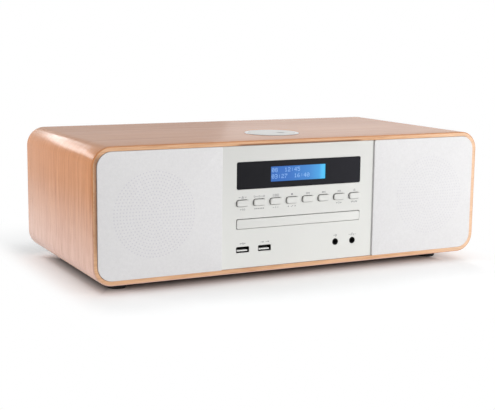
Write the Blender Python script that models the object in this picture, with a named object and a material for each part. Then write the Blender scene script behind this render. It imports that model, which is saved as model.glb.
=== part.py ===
"""Mini hifi system: a wood-wrapped cabinet with two speakers, a disc drawer and a volume dial on top.

Lengths are in metres. X runs to the right, Y from front to back, Z up, and the feet stand on Z = 0.
Depths are measured back from the front rim of the cabinet, heights up from its underside.
"""

import math

import bmesh
import bpy

# Cabinet
CABINET_WIDTH = 0.420
CABINET_DEPTH = 0.202
CABINET_HEIGHT = 0.1255
CABINET_RADIUS = 0.0185
WALL = 0.0045
EDGE_BEVEL = 0.0006
LEDGE_RISE = 0.006
LEDGE_DEPTH = 0.006
FOOT_HEIGHT = 0.0094
FOOT_RADIUS = 0.009
FOOT_EDGE = 0.0008
FOOT_INSET_X = 0.0343
FOOT_INSET_Y = 0.0333

# Clearances: between pieces that stay together, between moving ones, and under seated ones
GAP = 0.0003
PLAY = 0.0004
SEAT = 0.0002
# How far a cutter runs past what it cuts, and how far fused shapes run into each other
OVERCUT = 0.010
FUSE = 0.0005

# Front: panel, grilles and baffle
PANEL_LAP = 0.0045
PANEL_RECESS = 0.001
PANEL_THICKNESS = 0.003
PANEL_CORNER = 0.0006
GRILLE_PROUD = 0.0012
GRILLE_THICKNESS = 0.004
GRILLE_EDGE = 0.0009
GRILLE_CORNER = 0.0012
BAFFLE_DEPTH = 0.012
BAFFLE_THICKNESS = 0.006
BAY_SPARE = 0.005
BAY_RIM = 0.010
BAY_RADIUS = 0.004
POST_RADIUS = 0.003
POST_INSET = 0.008
PEG_RADIUS = 0.0018
PEG_INSET_X = 0.0022
PEG_INSET_Z = 0.004

# Display
WINDOW_RISE = 0.02995
WINDOW_WIDTH = 0.136
WINDOW_HEIGHT = 0.0256
WINDOW_THICKNESS = 0.0017
WINDOW_RADIUS = 0.0015
WINDOW_LIP_X = 0.004
WINDOW_LIP_Z = 0.003
SCREEN_X = -0.0016
SCREEN_WIDTH = 0.0609
SCREEN_HEIGHT = 0.0145
SCREEN_RADIUS = 0.0004
GLASS_MARGIN = 0.001
MODULE_MARGIN_X = 0.010
MODULE_MARGIN_Z = 0.005
BOARD_STANDOFF = 0.001
BOARD_THICKNESS = 0.0016
BOARD_RIM = 0.002
BOARD_SKIRT = 0.007
BOSS_INSET = 0.0055

# Buttons
BUTTON_NAMES = ("eject", "program", "menu", "stop", "previous", "next", "play", "standby")
BUTTON_RISE = 0.00405
BUTTON_PITCH = 0.01768
BUTTON_WIDTH = 0.0126
BUTTON_HEIGHT = 0.0061
BUTTON_RADIUS = 0.002
BUTTON_PROUD = 0.002
BUTTON_CROWN = 0.0005
BUTTON_FLANGE = 0.001
BUTTON_STEM = 0.004
BUTTON_TRAVEL = 0.0008
SWITCH_SIZE = 0.006
SWITCH_HEIGHT = 0.0034

# Sockets in the front panel
SOCKET_DROP = 0.0408
SOCKET_BOARD_LENGTH = 0.025
SOCKET_LEG = 0.006
USB_X = (-0.0613, -0.0379)
USB_RISE = 0.0004
USB_WIDTH = 0.0134
USB_HEIGHT = 0.0053
USB_LENGTH = 0.014
USB_WALL = 0.0004
USB_BACK = 0.002
USB_RADIUS = 0.0006
TONGUE_SIDE = 0.0008
TONGUE_INSET = 0.0024
TONGUE_RISE = 0.0009
TONGUE_THICKNESS = 0.0012
JACK_X = (0.0411, 0.06075)
JACK_RADIUS = 0.0031
JACK_BORE = 0.0018
JACK_LENGTH = 0.016
JACK_BACK = 0.002
JACK_CASE_WIDTH = 0.011
JACK_CASE_RISE = 0.0045

# Speakers
SPEAKER_OUTSET = 0.0068
SPEAKER_DROP = 0.0002
BASKET_FLANGE = 0.006
BASKET_RADIUS = 0.036
BASKET_LENGTH = 0.0215
BASKET_WALL = 0.0016
BASKET_LIP = 0.0025
BASKET_SPARE = 0.001
FLANGE_THICKNESS = 0.002
CONE_STROKE = 0.002
CONE_DEEP = 0.012
CONE_WALL = 0.0008
CONE_SINK = 0.001
CAP_RISE = 0.004
ROLL_WIDTH = 0.0038
ROLL_HEIGHT = 0.0024
ROLL_WALL = 0.0008
COIL_RADIUS = 0.0096
COIL_WALL = 0.0006
COIL_SPARE = 0.0012
MAGNET_RADIUS = 0.025
MAGNET_LENGTH = 0.018
MAGNET_BACK = 0.005
POLE_RISE = 0.002

# Disc drawer
DISC_DIAMETER = 0.120
WELL_CLEARANCE = 0.001
WELL_DEPTH = 0.0034
WELL_FLOOR = 0.0014
TRAY_DROP = 0.01585
TRAY_HEIGHT = 0.0084
TRAY_RIM = 0.0045
TRAY_NOSE = 0.010
TRAY_APRON = 0.004
DISC_OUT = 0.006
DOOR_LAP = 0.0026
DOOR_OVER = 0.0004
DOOR_THICKNESS = 0.0028
DOOR_RADIUS = 0.0008
SPINDLE_SLOT = 0.040

# Disc loader
CHASSIS_SIDE = 0.0085
CHASSIS_DROP = 0.0073
CHASSIS_THICKNESS = 0.002
CHASSIS_TAIL = 0.011
CHASSIS_LIP = 0.002
RAIL_WIDTH = 0.0025
GUARD_WIDTH = 0.0035
SIDE_PLAY = 0.0007
LEG_SIZE = 0.008
LEG_INSET = 0.006
LEG_FRONT = 0.040
DECK_THICKNESS = 0.002
DECK_LAP = 0.008
DECK_OPENING = 0.036
LIFT_TRAVEL = 0.0065
SLED_TRAVEL = 0.034
SLED_LENGTH = 0.020
SLED_WIDTH = 0.028
SLED_WING = 0.007
SLED_RISE = 0.0017
SLED_CLEAR = 0.001
LENS_RADIUS = 0.0035
LENS_RISE = 0.0013
ROD_RADIUS = 0.0015
ROD_X = -0.0175
ROD_WALL = 0.0011
TAB_LENGTH = 0.003
SPINDLE_MOTOR_RADIUS = 0.013
SPINDLE_MOTOR_LENGTH = 0.011
SPINDLE_SHAFT = 0.0012
HUB_RADIUS = 0.015
HUB_NOSE = 0.0074
HUB_NOSE_RISE = 0.0023
HUB_THICKNESS = 0.002
HUB_NECK = 0.005
BRIDGE_LENGTH = 0.040
BRIDGE_THICKNESS = 0.002
CLAMP_RADIUS = 0.012
CLAMP_FLANGE = 0.0035
CLAMP_THICKNESS = 0.0015
CLAMP_CLEARANCE = 0.0007

# Drawer drive
GEAR_MODULE = 0.001
GEAR_TEETH = 16
GEAR_ADDENDUM = 0.0009
GEAR_DEDENDUM = 0.0012
GEAR_BACKLASH = 0.0003
GEAR_INSET = 0.018
PRESSURE_ANGLE = math.radians(20)
RACK_INSET = 0.004
RACK_BACK = 0.0038
RACK_SPARE = 0.006
AXLE_RADIUS = 0.0014
PULLEY_RADIUS = 0.0125
PULLEY_GROOVE = 0.0110
PULLEY_HEIGHT = 0.004
PULLEY_FLANGE = 0.0008
PULLEY_BEVEL = 0.0003
PULLEY_RISE = 0.0015
WHEEL_NECK = 0.0045
MOTOR_REACH = 0.035
MOTOR_OFFSET = 0.002
MOTOR_PULLEY_RADIUS = 0.0045
MOTOR_PULLEY_GROOVE = 0.0032
MOTOR_SHAFT = 0.0010
MOTOR_RADIUS = 0.010
MOTOR_LENGTH = 0.010
MOTOR_BORE_DEPTH = 0.006
BELT_SIZE = 0.0011

# Dial
DIAL_DEPTH = 0.060
DIAL_RADIUS = 0.0230
DIAL_RISE = 0.0005
DIAL_EDGE = 0.0005
DIAL_SKIRT = 0.003
BEZEL_WIDTH = 0.0037
BEZEL_LAP = 0.0018
BEZEL_RISE = 0.0005
BEZEL_EDGE = 0.0002
CUP_DEPTH = 0.009
CUP_FLOOR = 0.0015
DIMPLE_X = 0.0079
DIMPLE_Y = -0.0044
DIMPLE_BALL = 0.012
DIMPLE_SINK = 0.0010
STEM_RADIUS = 0.003
STEM_REACH = 0.007
ENCODER_SIZE = 0.014
ENCODER_FLOOR = 0.0005

# Back
REAR_RECESS = 0.010
REAR_THICKNESS = 0.003
VENT_COUNT = 8
VENT_RISE = 0.0277
VENT_PITCH = 0.008
VENT_WIDTH = 0.003
VENT_HEIGHT = 0.024
VENT_RADIUS = 0.001
SCREW_INSET = 0.060
SCREW_RADIUS = 0.0015
SCREW_HEAD = 0.003
SCREW_DOME = 0.002
INLET_INSET = 0.060
INLET_DROP = 0.0252
INLET_WIDTH = 0.024
INLET_HEIGHT = 0.014
INLET_RADIUS = 0.002
INLET_LENGTH = 0.016
INLET_WALL_X = 0.0035
INLET_WALL_Z = 0.00275
INLET_FLANGE = 0.0025
INLET_FLANGE_THICKNESS = 0.0018
INLET_MOUTH = 0.012
PIN_RADIUS = 0.0012
PIN_X = 0.0043
PIN_INSET = 0.002
AERIAL_INSET = 0.060
AERIAL_RISE = 0.0252
AERIAL_RADIUS = 0.006
AERIAL_FLANGE = 0.0085
AERIAL_FLANGE_THICKNESS = 0.0014
AERIAL_BARREL = 0.0048
AERIAL_BORE = 0.0036
AERIAL_PIN = 0.0010
AERIAL_REACH = 0.0075
AERIAL_PIN_INSET = 0.0015
AERIAL_BORE_DEPTH = 0.003
AERIAL_BODY = 0.010

# Inside
MAIN_BOARD_RISE = 0.012
MAIN_BOARD_SIDE = 0.013
MAIN_BOARD_FRONT = 0.012
MAIN_BOARD_BACK = 0.020
MAIN_BOARD_LEG = 0.006
CAPACITOR_RADIUS = 0.008
CAPACITOR_INSET_X = 0.015
CAPACITOR_INSET_Y = 0.020
CAPACITOR_PITCH = 0.019
CHIP_SIZE = 0.024
CHIP_HEIGHT = 0.0015
UNDER_LOADER = 0.006
SINK_X = 0.010
SINK_LENGTH = 0.026
SINK_INSET = 0.006
SINK_BASE = 0.003
FIN_COUNT = 6
FIN_PITCH = 0.006
FIN_THICKNESS = 0.0024
TRANSFORMER_INSET = 0.018
TRANSFORMER_BACK = 0.062
CORE_WIDTH = 0.050
CORE_LENGTH = 0.038
CORE_HEIGHT = 0.042
COIL_WIDTH = 0.030
COIL_LENGTH = 0.056
COIL_HEIGHT = 0.026

# Derived positions
FRONT_Y = -(CABINET_DEPTH - GRILLE_PROUD) / 2
MIDDLE_Z = CABINET_HEIGHT / 2
INNER_X = CABINET_WIDTH / 2 - WALL
WINDOW_Z = MIDDLE_Z + WINDOW_RISE
BUTTON_Z = MIDDLE_Z + BUTTON_RISE
TRAY_Z = MIDDLE_Z - TRAY_DROP
SOCKET_Z = MIDDLE_Z - SOCKET_DROP
USB_Z = SOCKET_Z + USB_RISE
SPEAKER_Z = MIDDLE_Z - SPEAKER_DROP
WELL_RADIUS = DISC_DIAMETER / 2 + WELL_CLEARANCE
TRAY_X = WELL_RADIUS + TRAY_RIM
DOOR_X = TRAY_X + DOOR_LAP
DOOR_HEIGHT = TRAY_HEIGHT + 2 * DOOR_OVER
CHASSIS_X = TRAY_X + CHASSIS_SIDE
OPENING_X = CHASSIS_X + BAY_SPARE
PANEL_X = OPENING_X + PANEL_LAP
PANEL_BACK = PANEL_RECESS + PANEL_THICKNESS
PANEL_LOW = WALL + GAP
PANEL_HIGH = CABINET_HEIGHT - WALL - GAP
BAFFLE_BACK = BAFFLE_DEPTH + BAFFLE_THICKNESS
REAR_BACK = CABINET_DEPTH - REAR_RECESS
REAR_FRONT = REAR_BACK - REAR_THICKNESS
SPEAKER_X = (PANEL_X + INNER_X) / 2 + SPEAKER_OUTSET
BOARD_DEPTH = BAFFLE_DEPTH + BOARD_STANDOFF
SWITCH_FACE = BOARD_DEPTH - SWITCH_HEIGHT
TRAY_FRONT = PANEL_RECESS + DOOR_THICKNESS + GAP
TRAY_TRAVEL = DISC_DIAMETER + DISC_OUT
GEAR_DEPTH = TRAY_FRONT + GEAR_INSET
TRAY_BACK = GEAR_DEPTH + TRAY_TRAVEL + RACK_SPARE
TRAY_TOP = TRAY_Z + TRAY_HEIGHT / 2
TRAY_FOOT = TRAY_Z - TRAY_HEIGHT / 2
TRAY_FLOOR = TRAY_TOP - WELL_DEPTH - WELL_FLOOR
SPINDLE_DEPTH = TRAY_FRONT + TRAY_NOSE + DISC_DIAMETER / 2
CHASSIS_FRONT = PANEL_BACK + GAP
CHASSIS_BACK = TRAY_BACK + CHASSIS_TAIL
CHASSIS_FLOOR = TRAY_FOOT - CHASSIS_DROP
CHASSIS_UNDER = CHASSIS_FLOOR - CHASSIS_THICKNESS
CHASSIS_TOP = TRAY_TOP + PLAY + CHASSIS_LIP
DECK_BOTTOM = CHASSIS_FLOOR + GAP
DECK_TOP = DECK_BOTTOM + DECK_THICKNESS
HUB_TOP = TRAY_FOOT - GAP
GEAR_RADIUS = GEAR_TEETH * GEAR_MODULE / 2
RACK_X = -(WELL_RADIUS - RACK_INSET)
GEAR_X = RACK_X + GEAR_RADIUS
MOTOR_X = GEAR_X + MOTOR_REACH
MOTOR_DEPTH = GEAR_DEPTH + MOTOR_OFFSET
PULLEY_LOW = CHASSIS_FLOOR + PULLEY_RISE
PULLEY_HIGH = PULLEY_LOW + PULLEY_HEIGHT
BELT_LOW = (PULLEY_LOW + PULLEY_HIGH - BELT_SIZE) / 2
DIAL_TOP = CABINET_HEIGHT + DIAL_RISE
CUP_RADIUS = DIAL_RADIUS + PLAY
BEZEL_RADIUS = CUP_RADIUS + BEZEL_WIDTH
BEZEL_HOLE = BEZEL_RADIUS - BEZEL_LAP
CUP_UNDER = CABINET_HEIGHT - CUP_DEPTH
SOCKET_BOARD_TOP = USB_Z - USB_HEIGHT / 2 - GAP
SOCKET_BOARD_FRONT = PANEL_BACK + 2 * GAP + FUSE
SOCKET_BOARD_BACK = SOCKET_BOARD_FRONT + SOCKET_BOARD_LENGTH
SCREW_X = CABINET_WIDTH / 2 - SCREW_INSET
INLET_X = CABINET_WIDTH / 2 - INLET_INSET
INLET_Z = MIDDLE_Z - INLET_DROP
AERIAL_X = -(CABINET_WIDTH / 2 - AERIAL_INSET)
AERIAL_Z = MIDDLE_Z + AERIAL_RISE


def back(depth):
    return FRONT_Y + depth


def up(height):
    return FOOT_HEIGHT + height


def rounded(x0, x1, z0, z1, radii, steps):
    """Rectangle with rounded corners; radii run lower right, upper right, upper left, lower left."""
    if not isinstance(radii, tuple):
        radii = (radii,) * 4
    corners = ((x1, z0, 1, -1), (x1, z1, 1, 1), (x0, z1, -1, 1), (x0, z0, -1, -1))
    points = []
    for turn, ((x, z, side, level), radius) in enumerate(zip(corners, radii)):
        for i in range(steps + 1):
            angle = math.radians(90 * (turn - 1 + i / steps))
            points.append(
                (
                    x - side * radius + radius * math.cos(angle),
                    z - level * radius + radius * math.sin(angle),
                )
            )
    return points


def centred(x, z, width, height, radius, steps):
    return rounded(x - width / 2, x + width / 2, z - height / 2, z + height / 2, radius, steps)


def skin(loops, ring=False):
    """Joins equal loops of points in order, closing on itself (ring) or with a cap at each end."""
    count = len(loops[0])
    points = [point for loop in loops for point in loop]
    faces = []
    for row in range(len(loops) if ring else len(loops) - 1):
        near = row * count
        far = (row + 1) % len(loops) * count
        for i in range(count):
            j = (i + 1) % count
            faces.append((near + i, near + j, far + j, far + i))
    if not ring:
        faces.append(tuple(range(count)))
        faces.append(tuple(range(len(points) - count, len(points))))
    return points, faces


def through(sections, ring=False):
    """Sections are (outline in x and height, depth) pairs."""
    return skin([[(x, back(d), up(z)) for x, z in line] for line, d in sections], ring)


def slab(outline, front, rear):
    return through([(outline, front), (outline, rear)])


def tower(outline, low, high):
    """Outline in x and depth, carried from one height to another."""
    return skin([[(x, back(d), up(z)) for x, d in outline] for z in (low, high)])


def box(x0, x1, front, rear, low, high):
    return slab([(x0, low), (x1, low), (x1, high), (x0, high)], front, rear)


def turned(profile, place, steps):
    """Turns a closed profile of (radius, position along the axis) points about that axis."""
    points = []
    rings = []
    for radius, along in profile:
        count = steps if radius > 0 else 1
        rings.append(list(range(len(points), len(points) + count)))
        for i in range(count):
            angle = 2 * math.pi * i / steps
            points.append(place(radius * math.cos(angle), radius * math.sin(angle), along))
    faces = []
    for near, far in zip(rings, rings[1:] + rings[:1]):
        if len(near) == 1 and len(far) == 1:
            continue
        for i in range(steps):
            j = (i + 1) % steps
            corners = (near[i % len(near)], near[j % len(near)], far[j % len(far)], far[i % len(far)])
            faces.append(tuple(dict.fromkeys(corners)))
    return points, faces


def turned_deep(profile, x, z, steps):
    """Turned about a line from front to back; positions along it are depths."""
    return turned(profile, lambda a, b, depth: (x + a, back(depth), up(z + b)), steps)


def turned_up(profile, x, depth, steps):
    """Turned about an upright line; positions along it are heights."""
    return turned(profile, lambda a, b, height: (x + a, back(depth) + b, up(height)), steps)


def rod_deep(x, z, radius, front, rear, steps):
    return turned_deep([(0, front), (radius, front), (radius, rear), (0, rear)], x, z, steps)


def rod_up(x, depth, radius, low, high, steps):
    return turned_up([(0, low), (radius, low), (radius, high), (0, high)], x, depth, steps)


def joined(*solids):
    points = []
    faces = []
    for more_points, more_faces in solids:
        start = len(points)
        points += more_points
        faces += [tuple(start + i for i in face) for face in more_faces]
    return points, faces


def mesh_object(name, solid, origin):
    points, faces = solid
    mesh = bpy.data.meshes.new(name)
    shape = bmesh.new()
    corners = [shape.verts.new([p - o for p, o in zip(point, origin)]) for point in points]
    for face in faces:
        shape.faces.new([corners[i] for i in face])
    bmesh.ops.recalc_face_normals(shape, faces=shape.faces)
    shape.to_mesh(mesh)
    shape.free()
    obj = bpy.data.objects.new(name, mesh)
    obj.location = origin
    bpy.context.scene.collection.objects.link(obj)
    return obj


def make(name, solid, material, adds=(), cuts=(), inserts=(), origin=(0, 0, 0)):
    """One piece: a base solid with others fused to it, then others taken away, then others fused inside."""
    obj = mesh_object(name, solid, origin)
    obj.data.materials.append(material)
    steps = [("UNION", tool) for tool in adds]
    steps += [("DIFFERENCE", tool) for tool in cuts]
    steps += [("UNION", tool) for tool in inserts]
    for i, (kind, tool) in enumerate(steps):
        helper = mesh_object(f"{name}_{kind.lower()}_{i}", tool, (0, 0, 0))
        helper.hide_render = True
        helper.display_type = "WIRE"
        modifier = obj.modifiers.new(helper.name, "BOOLEAN")
        modifier.operation = kind
        modifier.solver = "EXACT"
        modifier.object = helper


def material(name, colour, roughness, metallic=0.0):
    made = bpy.data.materials.new(name)
    made.use_nodes = True
    shader = made.node_tree.nodes["Principled BSDF"]
    shader.inputs["Base Color"].default_value = (*colour, 1.0)
    shader.inputs["Roughness"].default_value = roughness
    shader.inputs["Metallic"].default_value = metallic
    return made


def gear_outline(x, depth):
    """Involute teeth about (x, depth), with a tooth pointing along -X."""
    base = GEAR_RADIUS * math.cos(PRESSURE_ANGLE)
    tip = GEAR_RADIUS + GEAR_ADDENDUM
    root = GEAR_RADIUS - GEAR_DEDENDUM
    half = (math.pi * GEAR_MODULE / 2 - GEAR_BACKLASH) / 2 / GEAR_RADIUS
    half += math.tan(PRESSURE_ANGLE) - PRESSURE_ANGLE
    radii = [root, base, (base + tip) / 2, tip]
    spreads = []
    for radius in radii:
        lean = math.acos(min(1.0, base / radius))
        spreads.append(half - (math.tan(lean) - lean))
    points = []
    for tooth in range(GEAR_TEETH):
        middle = math.pi + 2 * math.pi * tooth / GEAR_TEETH
        flank = list(zip(radii, spreads))
        for radius, angle in [(r, middle - s) for r, s in flank] + [(r, middle + s) for r, s in flank[::-1]]:
            points.append((x + radius * math.cos(angle), depth + radius * math.sin(angle)))
    return points


def rack_outline(front, rear):
    """Straight teeth facing +X along the depth, with a gap level with the gear at rest."""
    half = (math.pi * GEAR_MODULE / 2 - GEAR_BACKLASH) / 2
    slope = math.tan(PRESSURE_ANGLE)
    root = RACK_X - GEAR_DEDENDUM
    tip = RACK_X + GEAR_ADDENDUM
    wide = half + GEAR_DEDENDUM * slope
    narrow = half - GEAR_ADDENDUM * slope
    pitch = math.pi * GEAR_MODULE
    points = [(root - RACK_BACK, rear), (root - RACK_BACK, front), (root, front)]
    first = math.ceil((front - GEAR_DEPTH) / pitch)
    last = math.floor((rear - GEAR_DEPTH) / pitch) - 1
    for tooth in range(first, last + 1):
        middle = GEAR_DEPTH + (tooth + 0.5) * pitch
        points += [(root, middle - wide), (tip, middle - narrow)]
        points += [(tip, middle + narrow), (root, middle + wide)]
    points.append((root, rear))
    return points


def belt_outline(near_radius, far_radius):
    """Path around both pulleys, in x and depth."""
    span_x = MOTOR_X - GEAR_X
    span_y = MOTOR_DEPTH - GEAR_DEPTH
    heading = math.atan2(span_y, span_x)
    lean = math.acos((near_radius - far_radius) / math.hypot(span_x, span_y))
    points = []
    for x, depth, radius, start, sweep, steps in (
        (GEAR_X, GEAR_DEPTH, near_radius, heading + lean, 2 * math.pi - 2 * lean, 18),
        (MOTOR_X, MOTOR_DEPTH, far_radius, heading - lean, 2 * lean, 8),
    ):
        for i in range(steps + 1):
            angle = start + sweep * i / steps
            points.append((x + radius * math.cos(angle), depth + radius * math.sin(angle)))
    return points


def cabinet_outline(inset, steps=6):
    half = CABINET_WIDTH / 2 - inset
    return rounded(-half, half, inset, CABINET_HEIGHT - inset, CABINET_RADIUS - inset, steps)


def screw_places():
    middle = WALL + LEDGE_RISE / 2
    return [(x, z) for x in (-SCREW_X, SCREW_X) for z in (middle, CABINET_HEIGHT - middle)]


def build_cabinet(wood, board, dark, rubber, steel):
    front_ledge = BAFFLE_BACK + GAP
    rear_ledge = REAR_FRONT - GAP
    deep = WALL + LEDGE_RISE
    profile = [
        (EDGE_BEVEL, 0),
        (0, EDGE_BEVEL),
        (0, CABINET_DEPTH - EDGE_BEVEL),
        (EDGE_BEVEL, CABINET_DEPTH),
        (WALL, CABINET_DEPTH),
        (WALL, rear_ledge),
        (deep, rear_ledge),
        (deep, rear_ledge - LEDGE_DEPTH),
        (WALL, rear_ledge - LEDGE_DEPTH),
        (WALL, front_ledge + LEDGE_DEPTH),
        (deep, front_ledge + LEDGE_DEPTH),
        (deep, front_ledge),
        (WALL, front_ledge),
        (WALL, 0),
    ]
    bore = SCREW_RADIUS + PLAY
    pilots = [
        rod_deep(x, z, bore, rear_ledge - LEDGE_DEPTH - FUSE, rear_ledge + FUSE, 10)
        for x, z in screw_places()
    ]
    hole = rod_up(0, DIAL_DEPTH, BEZEL_HOLE, CABINET_HEIGHT - WALL - FUSE, CABINET_HEIGHT + OVERCUT, 32)
    wrap = through([(cabinet_outline(inset), depth) for inset, depth in profile], ring=True)
    make("cabinet_shell", wrap, wood, cuts=[joined(hole, *pilots)])

    inside = cabinet_outline(WALL + GAP)
    reach = (BAFFLE_DEPTH - OVERCUT, BAFFLE_BACK + OVERCUT)
    mouths = [
        rod_deep(side * SPEAKER_X, SPEAKER_Z, BASKET_RADIUS + BASKET_SPARE, *reach, 24) for side in (-1, 1)
    ]
    middle = rounded(-OPENING_X, OPENING_X, BAY_RIM, CABINET_HEIGHT - BAY_RIM, BAY_RADIUS, 3)
    make(
        "front_baffle",
        slab(inside, BAFFLE_DEPTH, BAFFLE_BACK),
        board,
        cuts=[joined(slab(middle, *reach), *mouths)],
    )

    reach = (REAR_FRONT - OVERCUT, REAR_BACK + OVERCUT)
    tools = [rod_deep(x, z, bore, *reach, 10) for x, z in screw_places()]
    for i in range(VENT_COUNT):
        x = (i - (VENT_COUNT - 1) / 2) * VENT_PITCH
        slit = centred(x, MIDDLE_Z + VENT_RISE, VENT_WIDTH, VENT_HEIGHT, VENT_RADIUS, 1)
        tools.append(slab(slit, *reach))
    mouth = centred(INLET_X, INLET_Z, INLET_WIDTH, INLET_HEIGHT, INLET_RADIUS, 2)
    tools.append(slab(mouth, *reach))
    tools.append(rod_deep(AERIAL_X, AERIAL_Z, AERIAL_RADIUS + PLAY, *reach, 20))
    make("rear_panel", slab(inside, REAR_FRONT, REAR_BACK), dark, cuts=[joined(*tools)])
    shank = [
        (0, REAR_BACK + SEAT + SCREW_DOME),
        (SCREW_HEAD, REAR_BACK + SEAT + SCREW_DOME / 2),
        (SCREW_HEAD, REAR_BACK + SEAT),
        (SCREW_RADIUS, REAR_BACK + SEAT),
        (SCREW_RADIUS, rear_ledge - LEDGE_DEPTH),
        (0, rear_ledge - LEDGE_DEPTH - SCREW_RADIUS),
    ]
    for i, (x, z) in enumerate(screw_places()):
        make(f"rear_screw_{i + 1}", turned_deep(shank, x, z, 10), steel)

    foot = [
        (0, -FOOT_HEIGHT),
        (FOOT_RADIUS - FOOT_EDGE, -FOOT_HEIGHT),
        (FOOT_RADIUS, -FOOT_HEIGHT + FOOT_EDGE),
        (FOOT_RADIUS, -SEAT),
        (0, -SEAT),
    ]
    for row, depth in (("front", FOOT_INSET_Y), ("rear", CABINET_DEPTH - FOOT_INSET_Y)):
        for side, sign in (("left", -1), ("right", 1)):
            x = sign * (CABINET_WIDTH / 2 - FOOT_INSET_X)
            make(f"{row}_{side}_foot", turned_up(foot, x, depth, 20), rubber)


def build_grilles(cloth):
    near = PANEL_X + GAP / 2
    far = INNER_X - GAP
    big = CABINET_RADIUS - WALL - GAP
    small = GRILLE_CORNER
    rear = GRILLE_THICKNESS - GRILLE_PROUD
    for name, sign in (("left", -1), ("right", 1)):
        x0, x1 = sorted((sign * near, sign * far))
        radii = (big, big, small, small) if sign > 0 else (small, small, big, big)
        sections = []
        for inset, depth in (
            (GRILLE_EDGE, -GRILLE_PROUD),
            (0.3 * GRILLE_EDGE, 0.3 * GRILLE_EDGE - GRILLE_PROUD),
            (0, GRILLE_EDGE - GRILLE_PROUD),
            (0, rear),
        ):
            trimmed = tuple(radius - inset for radius in radii)
            line = rounded(x0 + inset, x1 - inset, PANEL_LOW + inset, PANEL_HIGH - inset, trimmed, 5)
            sections.append((line, depth))
        posts = [
            rod_deep(x, z, POST_RADIUS, rear - FUSE, BAFFLE_DEPTH - GAP, 10)
            for x in (x0 + POST_INSET, x1 - POST_INSET)
            for z in (PANEL_LOW + POST_INSET, PANEL_HIGH - POST_INSET)
        ]
        make(f"{name}_grille", through(sections), cloth, adds=[joined(*posts)])


def button_x(i):
    return (i - (len(BUTTON_NAMES) - 1) / 2) * BUTTON_PITCH


def button_line(i, growth):
    return centred(
        button_x(i),
        BUTTON_Z,
        BUTTON_WIDTH + 2 * growth,
        BUTTON_HEIGHT + 2 * growth,
        BUTTON_RADIUS + growth,
        2,
    )


def build_panel(pale):
    half = PANEL_X - GAP / 2
    plate = slab(rounded(-half, half, PANEL_LOW, PANEL_HIGH, PANEL_CORNER, 2), PANEL_RECESS, PANEL_BACK)
    reach = (PANEL_RECESS - OVERCUT, PANEL_BACK + OVERCUT)
    boss_x = OPENING_X - BOSS_INSET
    low, high = board_span()
    bosses = [
        rod_deep(x, z, POST_RADIUS, PANEL_BACK - FUSE, BOARD_DEPTH - GAP, 10)
        for x in (-boss_x, boss_x)
        for z in (low + POST_RADIUS, high - POST_RADIUS)
    ]
    bosses += [
        rod_deep(x, z, PEG_RADIUS, PANEL_BACK - FUSE, BAFFLE_DEPTH - GAP, 8)
        for x in (-half + PEG_INSET_X, half - PEG_INSET_X)
        for z in (PANEL_LOW + PEG_INSET_Z, PANEL_HIGH - PEG_INSET_Z)
    ]
    lip = centred(
        0, WINDOW_Z, WINDOW_WIDTH - 2 * WINDOW_LIP_X, WINDOW_HEIGHT - 2 * WINDOW_LIP_Z, WINDOW_RADIUS, 3
    )
    door = centred(0, TRAY_Z, 2 * (DOOR_X + PLAY), DOOR_HEIGHT + 2 * PLAY, DOOR_RADIUS + PLAY, 2)
    lines = [lip, door]
    lines += [button_line(i, PLAY) for i in range(len(BUTTON_NAMES))]
    lines += [
        centred(x, USB_Z, USB_WIDTH + 2 * GAP, USB_HEIGHT + 2 * GAP, USB_RADIUS + GAP, 2) for x in USB_X
    ]
    holes = [slab(line, *reach) for line in lines]
    holes += [rod_deep(x, SOCKET_Z, JACK_RADIUS + GAP, *reach, 20) for x in JACK_X]
    window = centred(0, WINDOW_Z, WINDOW_WIDTH + 2 * GAP, WINDOW_HEIGHT + 2 * GAP, WINDOW_RADIUS + GAP, 3)
    rebate = slab(window, PANEL_RECESS - OVERCUT, PANEL_RECESS + WINDOW_THICKNESS + GAP)
    make("front_panel", plate, pale, adds=[joined(*bosses)], cuts=[joined(*holes), rebate])


def board_span():
    """Lower and upper edge of the display board."""
    return BUTTON_Z - BUTTON_HEIGHT / 2 - BOARD_SKIRT, CABINET_HEIGHT - BAY_RIM - BOARD_RIM


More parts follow.
